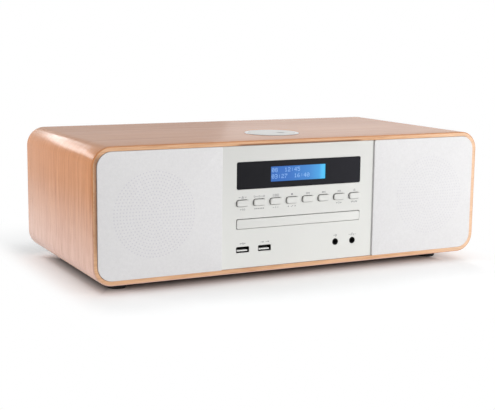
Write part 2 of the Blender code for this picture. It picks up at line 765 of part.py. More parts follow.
def build_display(gloss, glass, green, pale):
    face = centred(0, WINDOW_Z, WINDOW_WIDTH, WINDOW_HEIGHT, WINDOW_RADIUS, 3)
    inner = centred(SCREEN_X, WINDOW_Z, SCREEN_WIDTH, SCREEN_HEIGHT, SCREEN_RADIUS, 3)
    rear = PANEL_RECESS + WINDOW_THICKNESS
    ring = [(face, PANEL_RECESS), (face, rear), (inner, rear), (inner, PANEL_RECESS)]
    make("display_window", through(ring, ring=True), gloss)

    grown = 2 * GLASS_MARGIN
    glass_line = centred(
        SCREEN_X, WINDOW_Z, SCREEN_WIDTH + grown, SCREEN_HEIGHT + grown, SCREEN_RADIUS, 1
    )
    case_line = centred(
        SCREEN_X,
        WINDOW_Z,
        SCREEN_WIDTH + 2 * MODULE_MARGIN_X,
        SCREEN_HEIGHT + 2 * MODULE_MARGIN_Z,
        SCREEN_RADIUS,
        1,
    )
    step = PANEL_BACK + GAP
    module = [
        (glass_line, rear + GAP),
        (glass_line, step),
        (case_line, step),
        (case_line, BOARD_DEPTH - GAP),
    ]
    make("lcd_module", through(module), glass)

    reach = SWITCH_SIZE / 2
    switches = [
        box(
            button_x(i) - reach,
            button_x(i) + reach,
            SWITCH_FACE,
            BOARD_DEPTH + FUSE,
            BUTTON_Z - reach,
            BUTTON_Z + reach,
        )
        for i in range(len(BUTTON_NAMES))
    ]
    board_x = OPENING_X - BOARD_RIM
    board = box(-board_x, board_x, BOARD_DEPTH, BOARD_DEPTH + BOARD_THICKNESS, *board_span())
    make("display_board", board, green, adds=[joined(*switches)])

    start = PANEL_RECESS - BUTTON_PROUD
    seat = PANEL_BACK + GAP
    for i, name in enumerate(BUTTON_NAMES):
        x = button_x(i)
        stem = centred(x, BUTTON_Z, BUTTON_STEM, BUTTON_STEM, BUTTON_STEM / 8, 2)
        sections = [
            (button_line(i, -BUTTON_CROWN), start),
            (button_line(i, 0), start + BUTTON_CROWN),
            (button_line(i, 0), seat),
            (button_line(i, BUTTON_FLANGE), seat),
            (button_line(i, BUTTON_FLANGE), seat + BUTTON_FLANGE),
            (stem, seat + BUTTON_FLANGE),
            (stem, SWITCH_FACE - BUTTON_TRAVEL - GAP),
        ]
        make(f"{name}_button", through(sections), pale, origin=(x, back(start), up(BUTTON_Z)))


def build_sockets(tin, black, green):
    wide = USB_WIDTH - 2 * USB_WALL
    tall = USB_HEIGHT - 2 * USB_WALL
    front = PANEL_RECESS + GAP
    rear = front + USB_LENGTH
    tongue_low = USB_Z - tall / 2 + TONGUE_RISE
    for name, x in zip(("left", "right"), USB_X):
        can = slab(centred(x, USB_Z, USB_WIDTH, USB_HEIGHT, USB_RADIUS, 2), front, rear)
        hollow = slab(
            centred(x, USB_Z, wide, tall, USB_RADIUS - USB_WALL, 2), front - OVERCUT, rear - USB_BACK
        )
        tongue = box(
            x - wide / 2 + TONGUE_SIDE,
            x + wide / 2 - TONGUE_SIDE,
            front + TONGUE_INSET,
            rear - USB_BACK + FUSE,
            tongue_low,
            tongue_low + TONGUE_THICKNESS,
        )
        make(f"{name}_usb_socket", can, tin, cuts=[hollow], inserts=[tongue])
    front = PANEL_RECESS - SEAT
    rear = front + JACK_LENGTH
    for name, x in zip(("aux", "headphone"), JACK_X):
        barrel = rod_deep(x, SOCKET_Z, JACK_RADIUS, front, PANEL_BACK + GAP + FUSE, 20)
        case = box(
            x - JACK_CASE_WIDTH / 2,
            x + JACK_CASE_WIDTH / 2,
            PANEL_BACK + GAP,
            rear,
            SOCKET_BOARD_TOP + GAP,
            SOCKET_Z + JACK_CASE_RISE,
        )
        bore = rod_deep(x, SOCKET_Z, JACK_BORE, front - OVERCUT, rear - JACK_BACK, 16)
        make(f"{name}_jack", case, black, adds=[barrel], cuts=[bore])
    board_x = OPENING_X - BOARD_RIM - GAP
    low = SOCKET_BOARD_TOP - BOARD_THICKNESS
    plate = box(-board_x, board_x, SOCKET_BOARD_FRONT, SOCKET_BOARD_BACK, low, SOCKET_BOARD_TOP)
    leg_front = BAFFLE_BACK + GAP
    legs = [
        box(x, x + SOCKET_LEG, leg_front, leg_front + LEDGE_DEPTH, WALL + LEDGE_RISE + GAP, low + FUSE)
        for x in (-board_x, board_x - SOCKET_LEG)
    ]
    make("socket_board", plate, green, adds=[joined(*legs)])


def build_speakers(dark, grey, paper, rubber):
    seat = BAFFLE_DEPTH - GAP
    face = seat - FLANGE_THICKNESS
    rear = seat + BASKET_LENGTH
    rim = BASKET_RADIUS - BASKET_WALL
    throat = COIL_RADIUS + COIL_SPARE
    basket = [
        (BASKET_RADIUS + BASKET_FLANGE, face),
        (BASKET_RADIUS + BASKET_FLANGE, seat),
        (BASKET_RADIUS, seat),
        (BASKET_RADIUS, seat + BASKET_LIP),
        (MAGNET_RADIUS, rear),
        (throat, rear),
        (throat, rear - BASKET_WALL),
        (MAGNET_RADIUS - BASKET_WALL, rear - BASKET_WALL),
        (rim, seat + BASKET_LIP),
        (rim, face),
    ]
    start = rear + GAP
    slot = start + MAGNET_LENGTH - MAGNET_BACK
    pole = COIL_RADIUS - COIL_WALL - COIL_SPARE
    magnet = [
        (0, start - POLE_RISE),
        (pole, start - POLE_RISE),
        (pole, slot),
        (throat, slot),
        (throat, start),
        (MAGNET_RADIUS, start),
        (MAGNET_RADIUS, start + MAGNET_LENGTH),
        (0, start + MAGNET_LENGTH),
    ]
    far = rim - GAP
    near = far - ROLL_WIDTH
    cone_rim = near - GAP
    edge = seat + CONE_SINK
    neck = edge + CONE_DEEP
    tail = slot - CONE_STROKE - GAP
    cone = [
        (0, neck - CONE_WALL - CAP_RISE),
        (COIL_RADIUS / 2, neck - CONE_WALL - 0.8 * CAP_RISE),
        (COIL_RADIUS, neck - CONE_WALL),
        (cone_rim, edge),
        (cone_rim, edge + CONE_WALL),
        (COIL_RADIUS, neck),
        (COIL_RADIUS, tail),
        (COIL_RADIUS - COIL_WALL, tail),
        (COIL_RADIUS - COIL_WALL, neck),
        (COIL_RADIUS / 2, neck - 0.8 * CAP_RISE),
        (0, neck - CAP_RISE),
    ]
    middle = (near + far) / 2
    surround = [
        (near, edge),
        (middle - ROLL_WIDTH / 5, edge - ROLL_HEIGHT),
        (middle + ROLL_WIDTH / 5, edge - ROLL_HEIGHT),
        (far, edge),
        (far, edge + ROLL_WALL),
        (middle, edge - ROLL_HEIGHT + ROLL_WALL),
        (near, edge + ROLL_WALL),
    ]
    for name, sign in (("left", -1), ("right", 1)):
        x = sign * SPEAKER_X
        axis = (x, back(edge), up(SPEAKER_Z))
        make(f"{name}_basket", turned_deep(basket, x, SPEAKER_Z, 18), dark)
        make(f"{name}_magnet", turned_deep(magnet, x, SPEAKER_Z, 18), grey)
        make(f"{name}_cone", turned_deep(cone, x, SPEAKER_Z, 18), paper, origin=axis)
        make(f"{name}_surround", turned_deep(surround, x, SPEAKER_Z, 18), rubber)


def build_drawer(pale, black):
    line = centred(0, TRAY_Z, 2 * DOOR_X, DOOR_HEIGHT, DOOR_RADIUS, 2)
    handle = (0, back(PANEL_RECESS), up(TRAY_Z))
    make("tray_front", slab(line, PANEL_RECESS, TRAY_FRONT - GAP), pale, origin=handle)

    block = box(-TRAY_X, TRAY_X, TRAY_FRONT, TRAY_BACK, TRAY_FOOT, TRAY_TOP)
    low = TRAY_FOOT - OVERCUT
    high = TRAY_TOP + OVERCUT
    past = TRAY_BACK + OVERCUT
    half = SPINDLE_SLOT / 2
    well = rod_up(0, SPINDLE_DEPTH, WELL_RADIUS, TRAY_TOP - WELL_DEPTH, high, 36)
    pocket = box(-WELL_RADIUS, WELL_RADIUS, TRAY_FRONT + TRAY_APRON, past, low, TRAY_FLOOR)
    slot = box(-half, half, SPINDLE_DEPTH, past, low, high)
    nose = rod_up(0, SPINDLE_DEPTH, half, low, high, 16)
    rack = tower(
        rack_outline(TRAY_FRONT + TRAY_APRON - FUSE, TRAY_BACK - GAP), TRAY_FOOT + GAP, TRAY_FLOOR + FUSE
    )
    make("disc_tray", block, black, cuts=[well, pocket, slot, nose], inserts=[rack], origin=handle)


def build_chassis(dark):
    rail = TRAY_FOOT - GAP
    guard = TRAY_TOP + PLAY
    wall = TRAY_X + SIDE_PLAY
    right = [
        (CHASSIS_X, CHASSIS_UNDER),
        (CHASSIS_X, CHASSIS_TOP),
        (TRAY_X - GUARD_WIDTH, CHASSIS_TOP),
        (TRAY_X - GUARD_WIDTH, guard),
        (wall, guard),
        (wall, rail),
        (TRAY_X - RAIL_WIDTH, rail),
        (TRAY_X - RAIL_WIDTH, CHASSIS_FLOOR),
    ]
    section = right + [(-x, z) for x, z in right[::-1]]
    half = LEG_SIZE / 2
    legs = [
        box(x - half, x + half, depth - half, depth + half, WALL + GAP, CHASSIS_UNDER + FUSE)
        for x in (-CHASSIS_X + LEG_INSET, CHASSIS_X - LEG_INSET)
        for depth in (CHASSIS_FRONT + LEG_FRONT, CHASSIS_BACK - LEG_INSET)
    ]
    axle = rod_up(GEAR_X, GEAR_DEPTH, AXLE_RADIUS, CHASSIS_UNDER + FUSE, TRAY_FLOOR - GAP, 12)
    front, rear = deck_opening()
    low = CHASSIS_UNDER - FUSE
    high = CHASSIS_FLOOR + FUSE
    hole = rod_up(MOTOR_X, MOTOR_DEPTH, MOTOR_SHAFT + 2 * SIDE_PLAY, low, high, 12)
    make(
        "loader_chassis",
        slab(section, CHASSIS_FRONT, CHASSIS_BACK),
        dark,
        adds=[joined(axle, *legs)],
        cuts=[joined(box(-DECK_OPENING, DECK_OPENING, front, rear, low, high), hole)],
    )


def sled_span():
    """Front and rear of the pickup sled at rest, behind the spindle motor."""
    front = SPINDLE_DEPTH + SPINDLE_MOTOR_RADIUS + SLED_CLEAR
    return front, front + SLED_LENGTH


def rod_span():
    front, rear = sled_span()
    return front - SLED_CLEAR - TAB_LENGTH, rear + SLED_TRAVEL + SLED_CLEAR + TAB_LENGTH


def deck_opening():
    """Front and rear of the gap in the chassis floor that the lift deck's pieces hang through."""
    return SPINDLE_DEPTH - 2 * SPINDLE_MOTOR_RADIUS, rod_span()[1] + SLED_CLEAR


def build_deck(dark, grey, steel):
    front, rear = deck_opening()
    half = DECK_OPENING + DECK_LAP
    sled_front, sled_rear = sled_span()
    rod_front, rod_rear = rod_span()
    rod_z = DECK_BOTTOM - PLAY - ROD_RADIUS - GAP - ROD_WALL
    block = ROD_RADIUS + GAP + ROD_WALL
    low = DECK_BOTTOM - OVERCUT
    high = DECK_TOP + OVERCUT
    tabs = [
        box(ROD_X - block, ROD_X + block, depth, depth + TAB_LENGTH, rod_z - block, DECK_BOTTOM + FUSE)
        for depth in (rod_front, rod_rear - TAB_LENGTH)
    ]
    slot_x = SLED_WIDTH / 2 + SLED_CLEAR
    slot = box(-slot_x, slot_x, sled_front - SLED_CLEAR / 2, rod_rear - TAB_LENGTH, low, high)
    throat = rod_up(0, SPINDLE_DEPTH, HUB_NECK + SLED_CLEAR, low, high, 16)
    bores = rod_deep(ROD_X, rod_z, ROD_RADIUS + GAP, rod_front - FUSE, rod_rear + FUSE, 12)
    make(
        "lift_deck",
        box(-half, half, front - DECK_LAP, rear + DECK_LAP, DECK_BOTTOM, DECK_TOP),
        grey,
        adds=[joined(*tabs)],
        cuts=[joined(slot, throat), bores],
    )
    make("guide_rod", rod_deep(ROD_X, rod_z, ROD_RADIUS, rod_front, rod_rear, 12), steel)

    sled_low = rod_z - block
    middle = (sled_front + sled_rear) / 2
    sled_x = SLED_WIDTH / 2
    wing_x = sled_x + SLED_WING
    lens_low = DECK_TOP + SLED_RISE - FUSE
    make(
        "pickup_sled",
        box(-sled_x, sled_x, sled_front, sled_rear, sled_low, DECK_TOP + SLED_RISE),
        dark,
        adds=[
            box(-wing_x, wing_x, sled_front, sled_rear, sled_low, DECK_BOTTOM - PLAY),
            rod_up(0, middle, LENS_RADIUS, lens_low, DECK_TOP + SLED_RISE + LENS_RISE, 12),
        ],
        cuts=[rod_deep(ROD_X, rod_z, ROD_RADIUS + PLAY, sled_front - FUSE, sled_rear + FUSE, 12)],
        origin=(0, back(middle), up(rod_z)),
    )

    top = DECK_BOTTOM - GAP
    bore = SPINDLE_SHAFT + PLAY
    bore_low = top - SPINDLE_MOTOR_LENGTH / 2
    motor = [
        (0, top - SPINDLE_MOTOR_LENGTH),
        (SPINDLE_MOTOR_RADIUS, top - SPINDLE_MOTOR_LENGTH),
        (SPINDLE_MOTOR_RADIUS, top),
        (bore, top),
        (bore, bore_low),
        (0, bore_low),
    ]
    make("spindle_motor", turned_up(motor, 0, SPINDLE_DEPTH, 16), steel)
    neck_low = DECK_TOP + PLAY
    hub = [
        (0, bore_low + PLAY),
        (SPINDLE_SHAFT, bore_low + PLAY),
        (SPINDLE_SHAFT, neck_low),
        (HUB_NECK, neck_low),
        (HUB_NECK, HUB_TOP - HUB_THICKNESS),
        (HUB_RADIUS, HUB_TOP - HUB_THICKNESS),
        (HUB_RADIUS, HUB_TOP),
        (HUB_NOSE, HUB_TOP),
        (0.95 * HUB_NOSE, HUB_TOP + 0.7 * HUB_NOSE_RISE),
        (0.68 * HUB_NOSE, HUB_TOP + HUB_NOSE_RISE),
        (0, HUB_TOP + HUB_NOSE_RISE),
    ]
    spin = (0, back(SPINDLE_DEPTH), up(HUB_TOP))
    make("spindle_hub", turned_up(hub, 0, SPINDLE_DEPTH, 16), dark, origin=spin)


def build_clamp(grey, white):
    low = CHASSIS_TOP + GAP
    high = low + BRIDGE_THICKNESS
    half = BRIDGE_LENGTH / 2
    make(
        "clamp_bridge",
        box(-CHASSIS_X, CHASSIS_X, SPINDLE_DEPTH - half, SPINDLE_DEPTH + half, low, high),
        grey,
        cuts=[rod_up(0, SPINDLE_DEPTH, CLAMP_RADIUS + SLED_CLEAR, low - OVERCUT, high + OVERCUT, 16)],
    )
    foot = HUB_TOP + LIFT_TRAVEL + HUB_NOSE_RISE + CLAMP_CLEARANCE
    clamp = [
        (0, foot),
        (CLAMP_RADIUS, foot),
        (CLAMP_RADIUS, high + GAP),
        (CLAMP_RADIUS + CLAMP_FLANGE, high + GAP),
        (CLAMP_RADIUS + CLAMP_FLANGE, high + GAP + CLAMP_THICKNESS),
        (0, high + GAP + CLAMP_THICKNESS),
    ]
    above = (0, back(SPINDLE_DEPTH), up(high))
    make("disc_clamp", turned_up(clamp, 0, SPINDLE_DEPTH, 16), white, origin=above)


def pulley_rim(radius, groove):
    """Grooved rim, from the bottom up."""
    return [
        (radius, PULLEY_LOW),
        (radius, PULLEY_LOW + PULLEY_FLANGE),
        (groove, PULLEY_LOW + PULLEY_FLANGE + PULLEY_BEVEL),
        (groove, PULLEY_HIGH - PULLEY_FLANGE - PULLEY_BEVEL),
        (radius, PULLEY_HIGH - PULLEY_FLANGE),
        (radius, PULLEY_HIGH),
    ]


def build_drive(steel, white, rubber):
    gear_low = TRAY_FOOT + GAP
    gear_high = TRAY_FLOOR - GAP
    wheel = [(0, PULLEY_LOW)]
    wheel += pulley_rim(PULLEY_RADIUS, PULLEY_GROOVE)
    wheel += [(WHEEL_NECK, PULLEY_HIGH), (WHEEL_NECK, gear_low + FUSE), (0, gear_low + FUSE)]
    bore = rod_up(GEAR_X, GEAR_DEPTH, AXLE_RADIUS + PLAY, PULLEY_LOW - FUSE, gear_high + FUSE, 12)
    make(
        "tray_drive_wheel",
        turned_up(wheel, GEAR_X, GEAR_DEPTH, 18),
        white,
        adds=[tower(gear_outline(GEAR_X, GEAR_DEPTH), gear_low, gear_high)],
        cuts=[bore],
        origin=(GEAR_X, back(GEAR_DEPTH), up(PULLEY_LOW)),
    )
    top = CHASSIS_UNDER - GAP
    bore_low = top - MOTOR_BORE_DEPTH
    bore = MOTOR_SHAFT + PLAY
    can = [
        (0, top - MOTOR_LENGTH),
        (MOTOR_RADIUS, top - MOTOR_LENGTH),
        (MOTOR_RADIUS, top),
        (bore, top),
        (bore, bore_low),
        (0, bore_low),
    ]
    make("loading_motor", turned_up(can, MOTOR_X, MOTOR_DEPTH, 14), steel)
    pulley = [(0, bore_low + PLAY), (MOTOR_SHAFT, bore_low + PLAY), (MOTOR_SHAFT, PULLEY_LOW)]
    pulley += pulley_rim(MOTOR_PULLEY_RADIUS, MOTOR_PULLEY_GROOVE)
    pulley.append((0, PULLEY_HIGH))
    turn = (MOTOR_X, back(MOTOR_DEPTH), up(PULLEY_LOW))
    make("motor_pulley", turned_up(pulley, MOTOR_X, MOTOR_DEPTH, 12), white, origin=turn)
    inner = belt_outline(PULLEY_GROOVE + SEAT, MOTOR_PULLEY_GROOVE + SEAT)
    outer = belt_outline(PULLEY_GROOVE + SEAT + BELT_SIZE, MOTOR_PULLEY_GROOVE + SEAT + BELT_SIZE)
    loops = []
    for line, height in (
        (inner, BELT_LOW),
        (outer, BELT_LOW),
        (outer, BELT_LOW + BELT_SIZE),
        (inner, BELT_LOW + BELT_SIZE),
    ):
        loops.append([(x, back(d), up(height)) for x, d in line])
    make("drive_belt", skin(loops, ring=True), rubber)


def build_dial(silver, steel):
    top = CABINET_HEIGHT
    cup = [
        (CUP_RADIUS, top + BEZEL_RISE),
        (BEZEL_RADIUS - BEZEL_EDGE, top + BEZEL_RISE),
        (BEZEL_RADIUS, top + BEZEL_RISE - BEZEL_EDGE),
        (BEZEL_RADIUS, top + SEAT),
        (BEZEL_HOLE - GAP, top + SEAT),
        (BEZEL_HOLE - GAP, CUP_UNDER),
        (STEM_RADIUS + PLAY, CUP_UNDER),
        (STEM_RADIUS + PLAY, CUP_UNDER + CUP_FLOOR),
        (CUP_RADIUS, CUP_UNDER + CUP_FLOOR),
    ]
    make("dial_bezel", turned_up(cup, 0, DIAL_DEPTH, 32), silver)
    tip = CUP_UNDER - STEM_REACH
    disc = [
        (0, DIAL_TOP),
        (DIAL_RADIUS - DIAL_EDGE, DIAL_TOP),
        (DIAL_RADIUS, DIAL_TOP - DIAL_EDGE),
        (DIAL_RADIUS, top - DIAL_SKIRT),
        (STEM_RADIUS, top - DIAL_SKIRT),
        (STEM_RADIUS, tip),
        (0, tip),
    ]
    middle = DIAL_TOP + DIMPLE_BALL - DIMPLE_SINK
    ball = [(0, middle - DIMPLE_BALL)]
    for i in range(1, 6):
        angle = math.pi * i / 6
        ball.append((DIMPLE_BALL * math.sin(angle), middle - DIMPLE_BALL * math.cos(angle)))
    ball.append((0, middle + DIMPLE_BALL))
    make(
        "volume_dial",
        turned_up(disc, 0, DIAL_DEPTH, 32),
        silver,
        cuts=[turned_up(ball, DIMPLE_X, DIAL_DEPTH + DIMPLE_Y, 16)],
        origin=(0, back(DIAL_DEPTH), up(DIAL_TOP)),
    )
    high = CUP_UNDER - GAP
    floor = tip - PLAY
    half = ENCODER_SIZE / 2
    make(
        "rotary_encoder",
        box(-half, half, DIAL_DEPTH - half, DIAL_DEPTH + half, floor - ENCODER_FLOOR, high),
        steel,
        cuts=[rod_up(0, DIAL_DEPTH, STEM_RADIUS + PLAY, floor, high + OVERCUT, 16)],
    )


def build_boards(green, steel, iron):
    low = WALL + GAP
    board_x = CHASSIS_X - MAIN_BOARD_SIDE
    front = SOCKET_BOARD_BACK + MAIN_BOARD_FRONT
    rear = REAR_FRONT - MAIN_BOARD_BACK
    high = MAIN_BOARD_RISE + BOARD_THICKNESS
    roof = CHASSIS_UNDER - UNDER_LOADER
    legs = [
        box(x, x + MAIN_BOARD_LEG, d, d + MAIN_BOARD_LEG, low, MAIN_BOARD_RISE + FUSE)
        for x in (-board_x, board_x - MAIN_BOARD_LEG)
        for d in (front, rear - MAIN_BOARD_LEG)
    ]
    tops = [
        rod_up(x, rear - CAPACITOR_INSET_Y, CAPACITOR_RADIUS, high - FUSE, roof, 12)
        for x in (-board_x + CAPACITOR_INSET_X, -board_x + CAPACITOR_INSET_X + CAPACITOR_PITCH)
    ]
    half = CHIP_SIZE / 2
    middle = (front + rear) / 2
    tops.append(box(-half, half, middle - half, middle + half, high - FUSE, high + CHIP_HEIGHT))
    plate = box(-board_x, board_x, front, rear, MAIN_BOARD_RISE, high)
    make("main_board", plate, green, adds=[joined(*legs, *tops)])

    foot = high + GAP
    line = [(SINK_X, foot), (SINK_X + FIN_COUNT * FIN_PITCH, foot)]
    for i in reversed(range(FIN_COUNT)):
        start = SINK_X + i * FIN_PITCH
        side = (FIN_PITCH - FIN_THICKNESS) / 2
        line += [
            (start + FIN_PITCH, foot + SINK_BASE),
            (start + FIN_PITCH - side, foot + SINK_BASE),
            (start + FIN_PITCH - side - FIN_THICKNESS / 4, roof),
            (start + side + FIN_THICKNESS / 4, roof),
            (start + side, foot + SINK_BASE),
        ]
    line.append((SINK_X, foot + SINK_BASE))
    sink_rear = rear - SINK_INSET
    make("heat_sink", slab(line, sink_rear - SINK_LENGTH, sink_rear), steel)

    x = SPEAKER_X - TRANSFORMER_INSET
    depth = CABINET_DEPTH - TRANSFORMER_BACK
    core = box(
        x - CORE_WIDTH / 2,
        x + CORE_WIDTH / 2,
        depth - CORE_LENGTH / 2,
        depth + CORE_LENGTH / 2,
        low,
        low + CORE_HEIGHT,
    )
    coil_low = low + (CORE_HEIGHT - COIL_HEIGHT) / 2
    coil = box(
        x - COIL_WIDTH / 2,
        x + COIL_WIDTH / 2,
        depth - COIL_LENGTH / 2,
        depth + COIL_LENGTH / 2,
        coil_low,
        coil_low + COIL_HEIGHT,
    )
    make("power_transformer", core, iron, adds=[coil])


def build_rear_sockets(black, chrome):
    seat = REAR_BACK + SEAT
    wide = 2 * INLET_FLANGE
    flange = slab(
        centred(INLET_X, INLET_Z, INLET_WIDTH + wide, INLET_HEIGHT + wide, INLET_RADIUS, 2),
        seat,
        seat + INLET_FLANGE_THICKNESS,
    )
    body = slab(
        centred(INLET_X, INLET_Z, INLET_WIDTH - 2 * GAP, INLET_HEIGHT - 2 * GAP, INLET_RADIUS, 2),
        REAR_BACK - INLET_LENGTH,
        seat + FUSE,
    )
    mouth_z = INLET_HEIGHT - 2 * INLET_WALL_Z
    mouth = slab(
        centred(INLET_X, INLET_Z, INLET_WIDTH - 2 * INLET_WALL_X, mouth_z, 0.47 * mouth_z, 4),
        REAR_BACK - INLET_MOUTH,
        REAR_BACK + OVERCUT,
    )
    pins = [
        rod_deep(x, INLET_Z, PIN_RADIUS, REAR_BACK - INLET_MOUTH - FUSE, REAR_BACK - PIN_INSET, 10)
        for x in (INLET_X - PIN_X, INLET_X + PIN_X)
    ]
    make("mains_inlet", flange, black, adds=[body], cuts=[mouth], inserts=[joined(*pins)])

    tip = seat + AERIAL_REACH
    floor = REAR_BACK - AERIAL_BORE_DEPTH
    aerial = [
        (0, tip - AERIAL_PIN_INSET),
        (AERIAL_PIN, tip - AERIAL_PIN_INSET),
        (AERIAL_PIN, floor),
        (AERIAL_BORE, floor),
        (AERIAL_BORE, tip),
        (AERIAL_BARREL, tip),
        (AERIAL_BARREL, seat + AERIAL_FLANGE_THICKNESS),
        (AERIAL_FLANGE, seat + AERIAL_FLANGE_THICKNESS),
        (AERIAL_FLANGE, seat),
        (AERIAL_RADIUS, seat),
        (AERIAL_RADIUS, REAR_BACK - AERIAL_BODY),
        (0, REAR_BACK - AERIAL_BODY),
    ]
    make("aerial_socket", turned_deep(aerial, AERIAL_X, AERIAL_Z, 14), chrome)


def main():
    for obj in list(bpy.data.objects):
        bpy.data.objects.remove(obj, do_unlink=True)
    wood = material("cherry_veneer", (0.60, 0.30, 0.15), 0.35)
    board = material("fibreboard", (0.45, 0.33, 0.22), 0.8)
    pale = material("pale_plastic", (0.72, 0.72, 0.69), 0.4)
    cloth = material("grille_cloth", (0.74, 0.73, 0.74), 0.9)
    gloss = material("black_gloss", (0.015, 0.015, 0.018), 0.12)
    glass = material("display_glass", (0.08, 0.20, 0.55), 0.1)
    dark = material("dark_plastic", (0.03, 0.03, 0.03), 0.6)
    black = material("tray_plastic", (0.04, 0.04, 0.045), 0.5)
    white = material("white_plastic", (0.75, 0.75, 0.72), 0.5)
    rubber = material("black_rubber", (0.02, 0.02, 0.02), 0.9)
    paper = material("cone_paper", (0.06, 0.06, 0.06), 0.9)
    green = material("circuit_board", (0.02, 0.16, 0.06), 0.5)
    steel = material("bright_steel", (0.6, 0.6, 0.6), 0.35, 1.0)
    grey = material("grey_steel", (0.35, 0.35, 0.36), 0.45, 1.0)
    iron = material("transformer_iron", (0.12, 0.12, 0.13), 0.6, 1.0)
    silver = material("silver_finish", (0.78, 0.77, 0.75), 0.3, 1.0)
    tin = material("tinned_steel", (0.7, 0.7, 0.7), 0.3, 1.0)
    build_cabinet(wood, board, dark, rubber, steel)
    build_grilles(cloth)
    build_panel(pale)
    build_display(gloss, glass, green, pale)
    build_sockets(tin, dark, green)
    build_speakers(dark, grey, paper, rubber)
    build_drawer(pale, black)
    build_chassis(dark)
    build_deck(dark, grey, steel)
    build_clamp(grey, white)
    build_drive(steel, white, rubber)
    build_dial(silver, steel)
    build_boards(green, steel, iron)
    build_rear_sockets(dark, silver)


main()
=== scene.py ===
"""Looks, light and camera for the tabletop music system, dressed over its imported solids.

Shapes are worked out in millimetres in the cabinet's own frame: x to the right, depth back from the front rim,
height above the underside. worldly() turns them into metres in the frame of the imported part.
"""

import math

import bmesh
import bpy
import numpy as np
from mathutils import Matrix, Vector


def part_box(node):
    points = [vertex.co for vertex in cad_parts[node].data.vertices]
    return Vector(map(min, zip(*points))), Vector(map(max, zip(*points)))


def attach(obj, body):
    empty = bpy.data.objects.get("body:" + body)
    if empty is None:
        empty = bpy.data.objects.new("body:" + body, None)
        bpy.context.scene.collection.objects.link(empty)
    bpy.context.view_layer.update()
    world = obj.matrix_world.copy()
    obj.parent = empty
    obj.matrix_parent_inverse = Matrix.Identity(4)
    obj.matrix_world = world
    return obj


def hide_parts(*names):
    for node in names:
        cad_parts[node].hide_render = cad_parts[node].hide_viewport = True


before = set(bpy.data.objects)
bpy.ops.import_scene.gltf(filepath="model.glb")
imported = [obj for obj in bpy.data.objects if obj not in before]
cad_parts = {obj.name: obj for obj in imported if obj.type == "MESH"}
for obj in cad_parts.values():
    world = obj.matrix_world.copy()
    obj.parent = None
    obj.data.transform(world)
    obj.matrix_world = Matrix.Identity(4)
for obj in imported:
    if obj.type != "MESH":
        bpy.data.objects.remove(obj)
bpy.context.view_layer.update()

MM = 0.001
BUTTONS = ("eject", "program", "menu", "stop", "previous", "next", "play", "standby")
ORIGIN = np.array([0, *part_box("cabinet_shell")[0][1:]])


def worldly(points):
    """Millimetres in the cabinet's frame to metres in the part's frame."""
    return np.asarray(points, float) * MM + ORIGIN


def extent(node):
    """Lowest and highest corner of a CAD node, in millimetres in the cabinet's frame."""
    low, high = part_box(node)
    return (np.array(low) - ORIGIN) / MM, (np.array(high) - ORIGIN) / MM


def centre(node):
    """Middle of a CAD node's box, in millimetres in the cabinet's frame."""
    low, high = extent(node)
    return (low + high) / 2


# Outlines

def rounded_line(x0, x1, z0, z1, radii, arc=8):
    """Rounded rectangle: four quarter circles about the inset corners, joined by straights, anticlockwise from
    below right."""
    radii = np.broadcast_to(np.asarray(radii, float), 4)
    angle = np.linspace(0, math.pi / 2, arc + 1)
    turns = angle[None, :] + (np.arange(4)[:, None] - 1) * math.pi / 2
    middle_x = np.array([x1 - radii[0], x1 - radii[1], x0 + radii[2], x0 + radii[3]])
    middle_z = np.array([z0 + radii[0], z1 - radii[1], z1 - radii[2], z0 + radii[3]])
    x = middle_x[:, None] + radii[:, None] * np.cos(turns)
    z = middle_z[:, None] + radii[:, None] * np.sin(turns)
    return np.stack([x.ravel(), z.ravel()], -1)


def inset_line(low, high, inset, radii, arc):
    """Rounded rectangle of a box seen from the front, drawn in by an inset."""
    return rounded_line(low[0] + inset, high[0] - inset, low[2] + inset, high[2] - inset, radii, arc)


def centred_line(x, z, width, height, radius, arc=8):
    """Rounded rectangle about a middle point."""
    return rounded_line(x - width / 2, x + width / 2, z - height / 2, z + height / 2, radius, arc)


def circle_line(x, z, radius, steps=64):
    """Circle about a middle point."""
    angle = np.arange(steps) * 2 * math.pi / steps
    return np.stack([x + radius * np.cos(angle), z + radius * np.sin(angle)], -1)


def quarter(radius, steps=5):
    """Quarter round of an edge as (inset, set back): radius times one minus sine, and one minus cosine."""
    angle = np.linspace(0, math.pi / 2, steps + 1)
    return np.stack([radius * (1 - np.sin(angle)), radius * (1 - np.cos(angle))], -1)


def at_depth(line, depth):
    """Outline in x and height set at one depth."""
    return np.column_stack([line[:, 0], np.full(len(line), float(depth)), line[:, 1]])


# Surfaces

def weave(rows, cols, ring):
    """Four-sided faces of a grid whose columns join up, and whose rows do too where ring is set."""
    row = np.arange(rows if ring else rows - 1)[:, None]
    col = np.arange(cols)[None, :]
    over = (row + 1) % rows
    beside = (col + 1) % cols
    corners = [row * cols + col, row * cols + beside, over * cols + beside, over * cols + col]
    return np.stack(np.broadcast_arrays(*corners), -1).reshape(-1, 4)


def loft(loops, ring=False):
    """Skin over loops of equal count. Ends that don't join are closed by a fan to their mean point."""
    loops = np.asarray(loops, float)
    rows, cols = loops.shape[:2]
    points = loops.reshape(-1, 3)
    faces = weave(rows, cols, ring).tolist()
    if not ring:
        points = np.vstack([points, loops[0].mean(0), loops[-1].mean(0)])
        here = np.arange(cols)
        there = (here + 1) % cols
        last = (rows - 1) * cols
        faces += np.stack([there, here, np.full(cols, rows * cols)], -1).tolist()
        faces += np.stack([here + last, there + last, np.full(cols, rows * cols + 1)], -1).tolist()
    return points, faces


def prism(line, front, rear):
    """Outline carried straight back, with one flat face at each end."""
    count = len(line)
    points = np.vstack([at_depth(line, front), at_depth(line, rear)])
    faces = weave(2, count, False).tolist()
    faces += [list(range(count))[::-1], list(range(count, 2 * count))]
    return points, faces


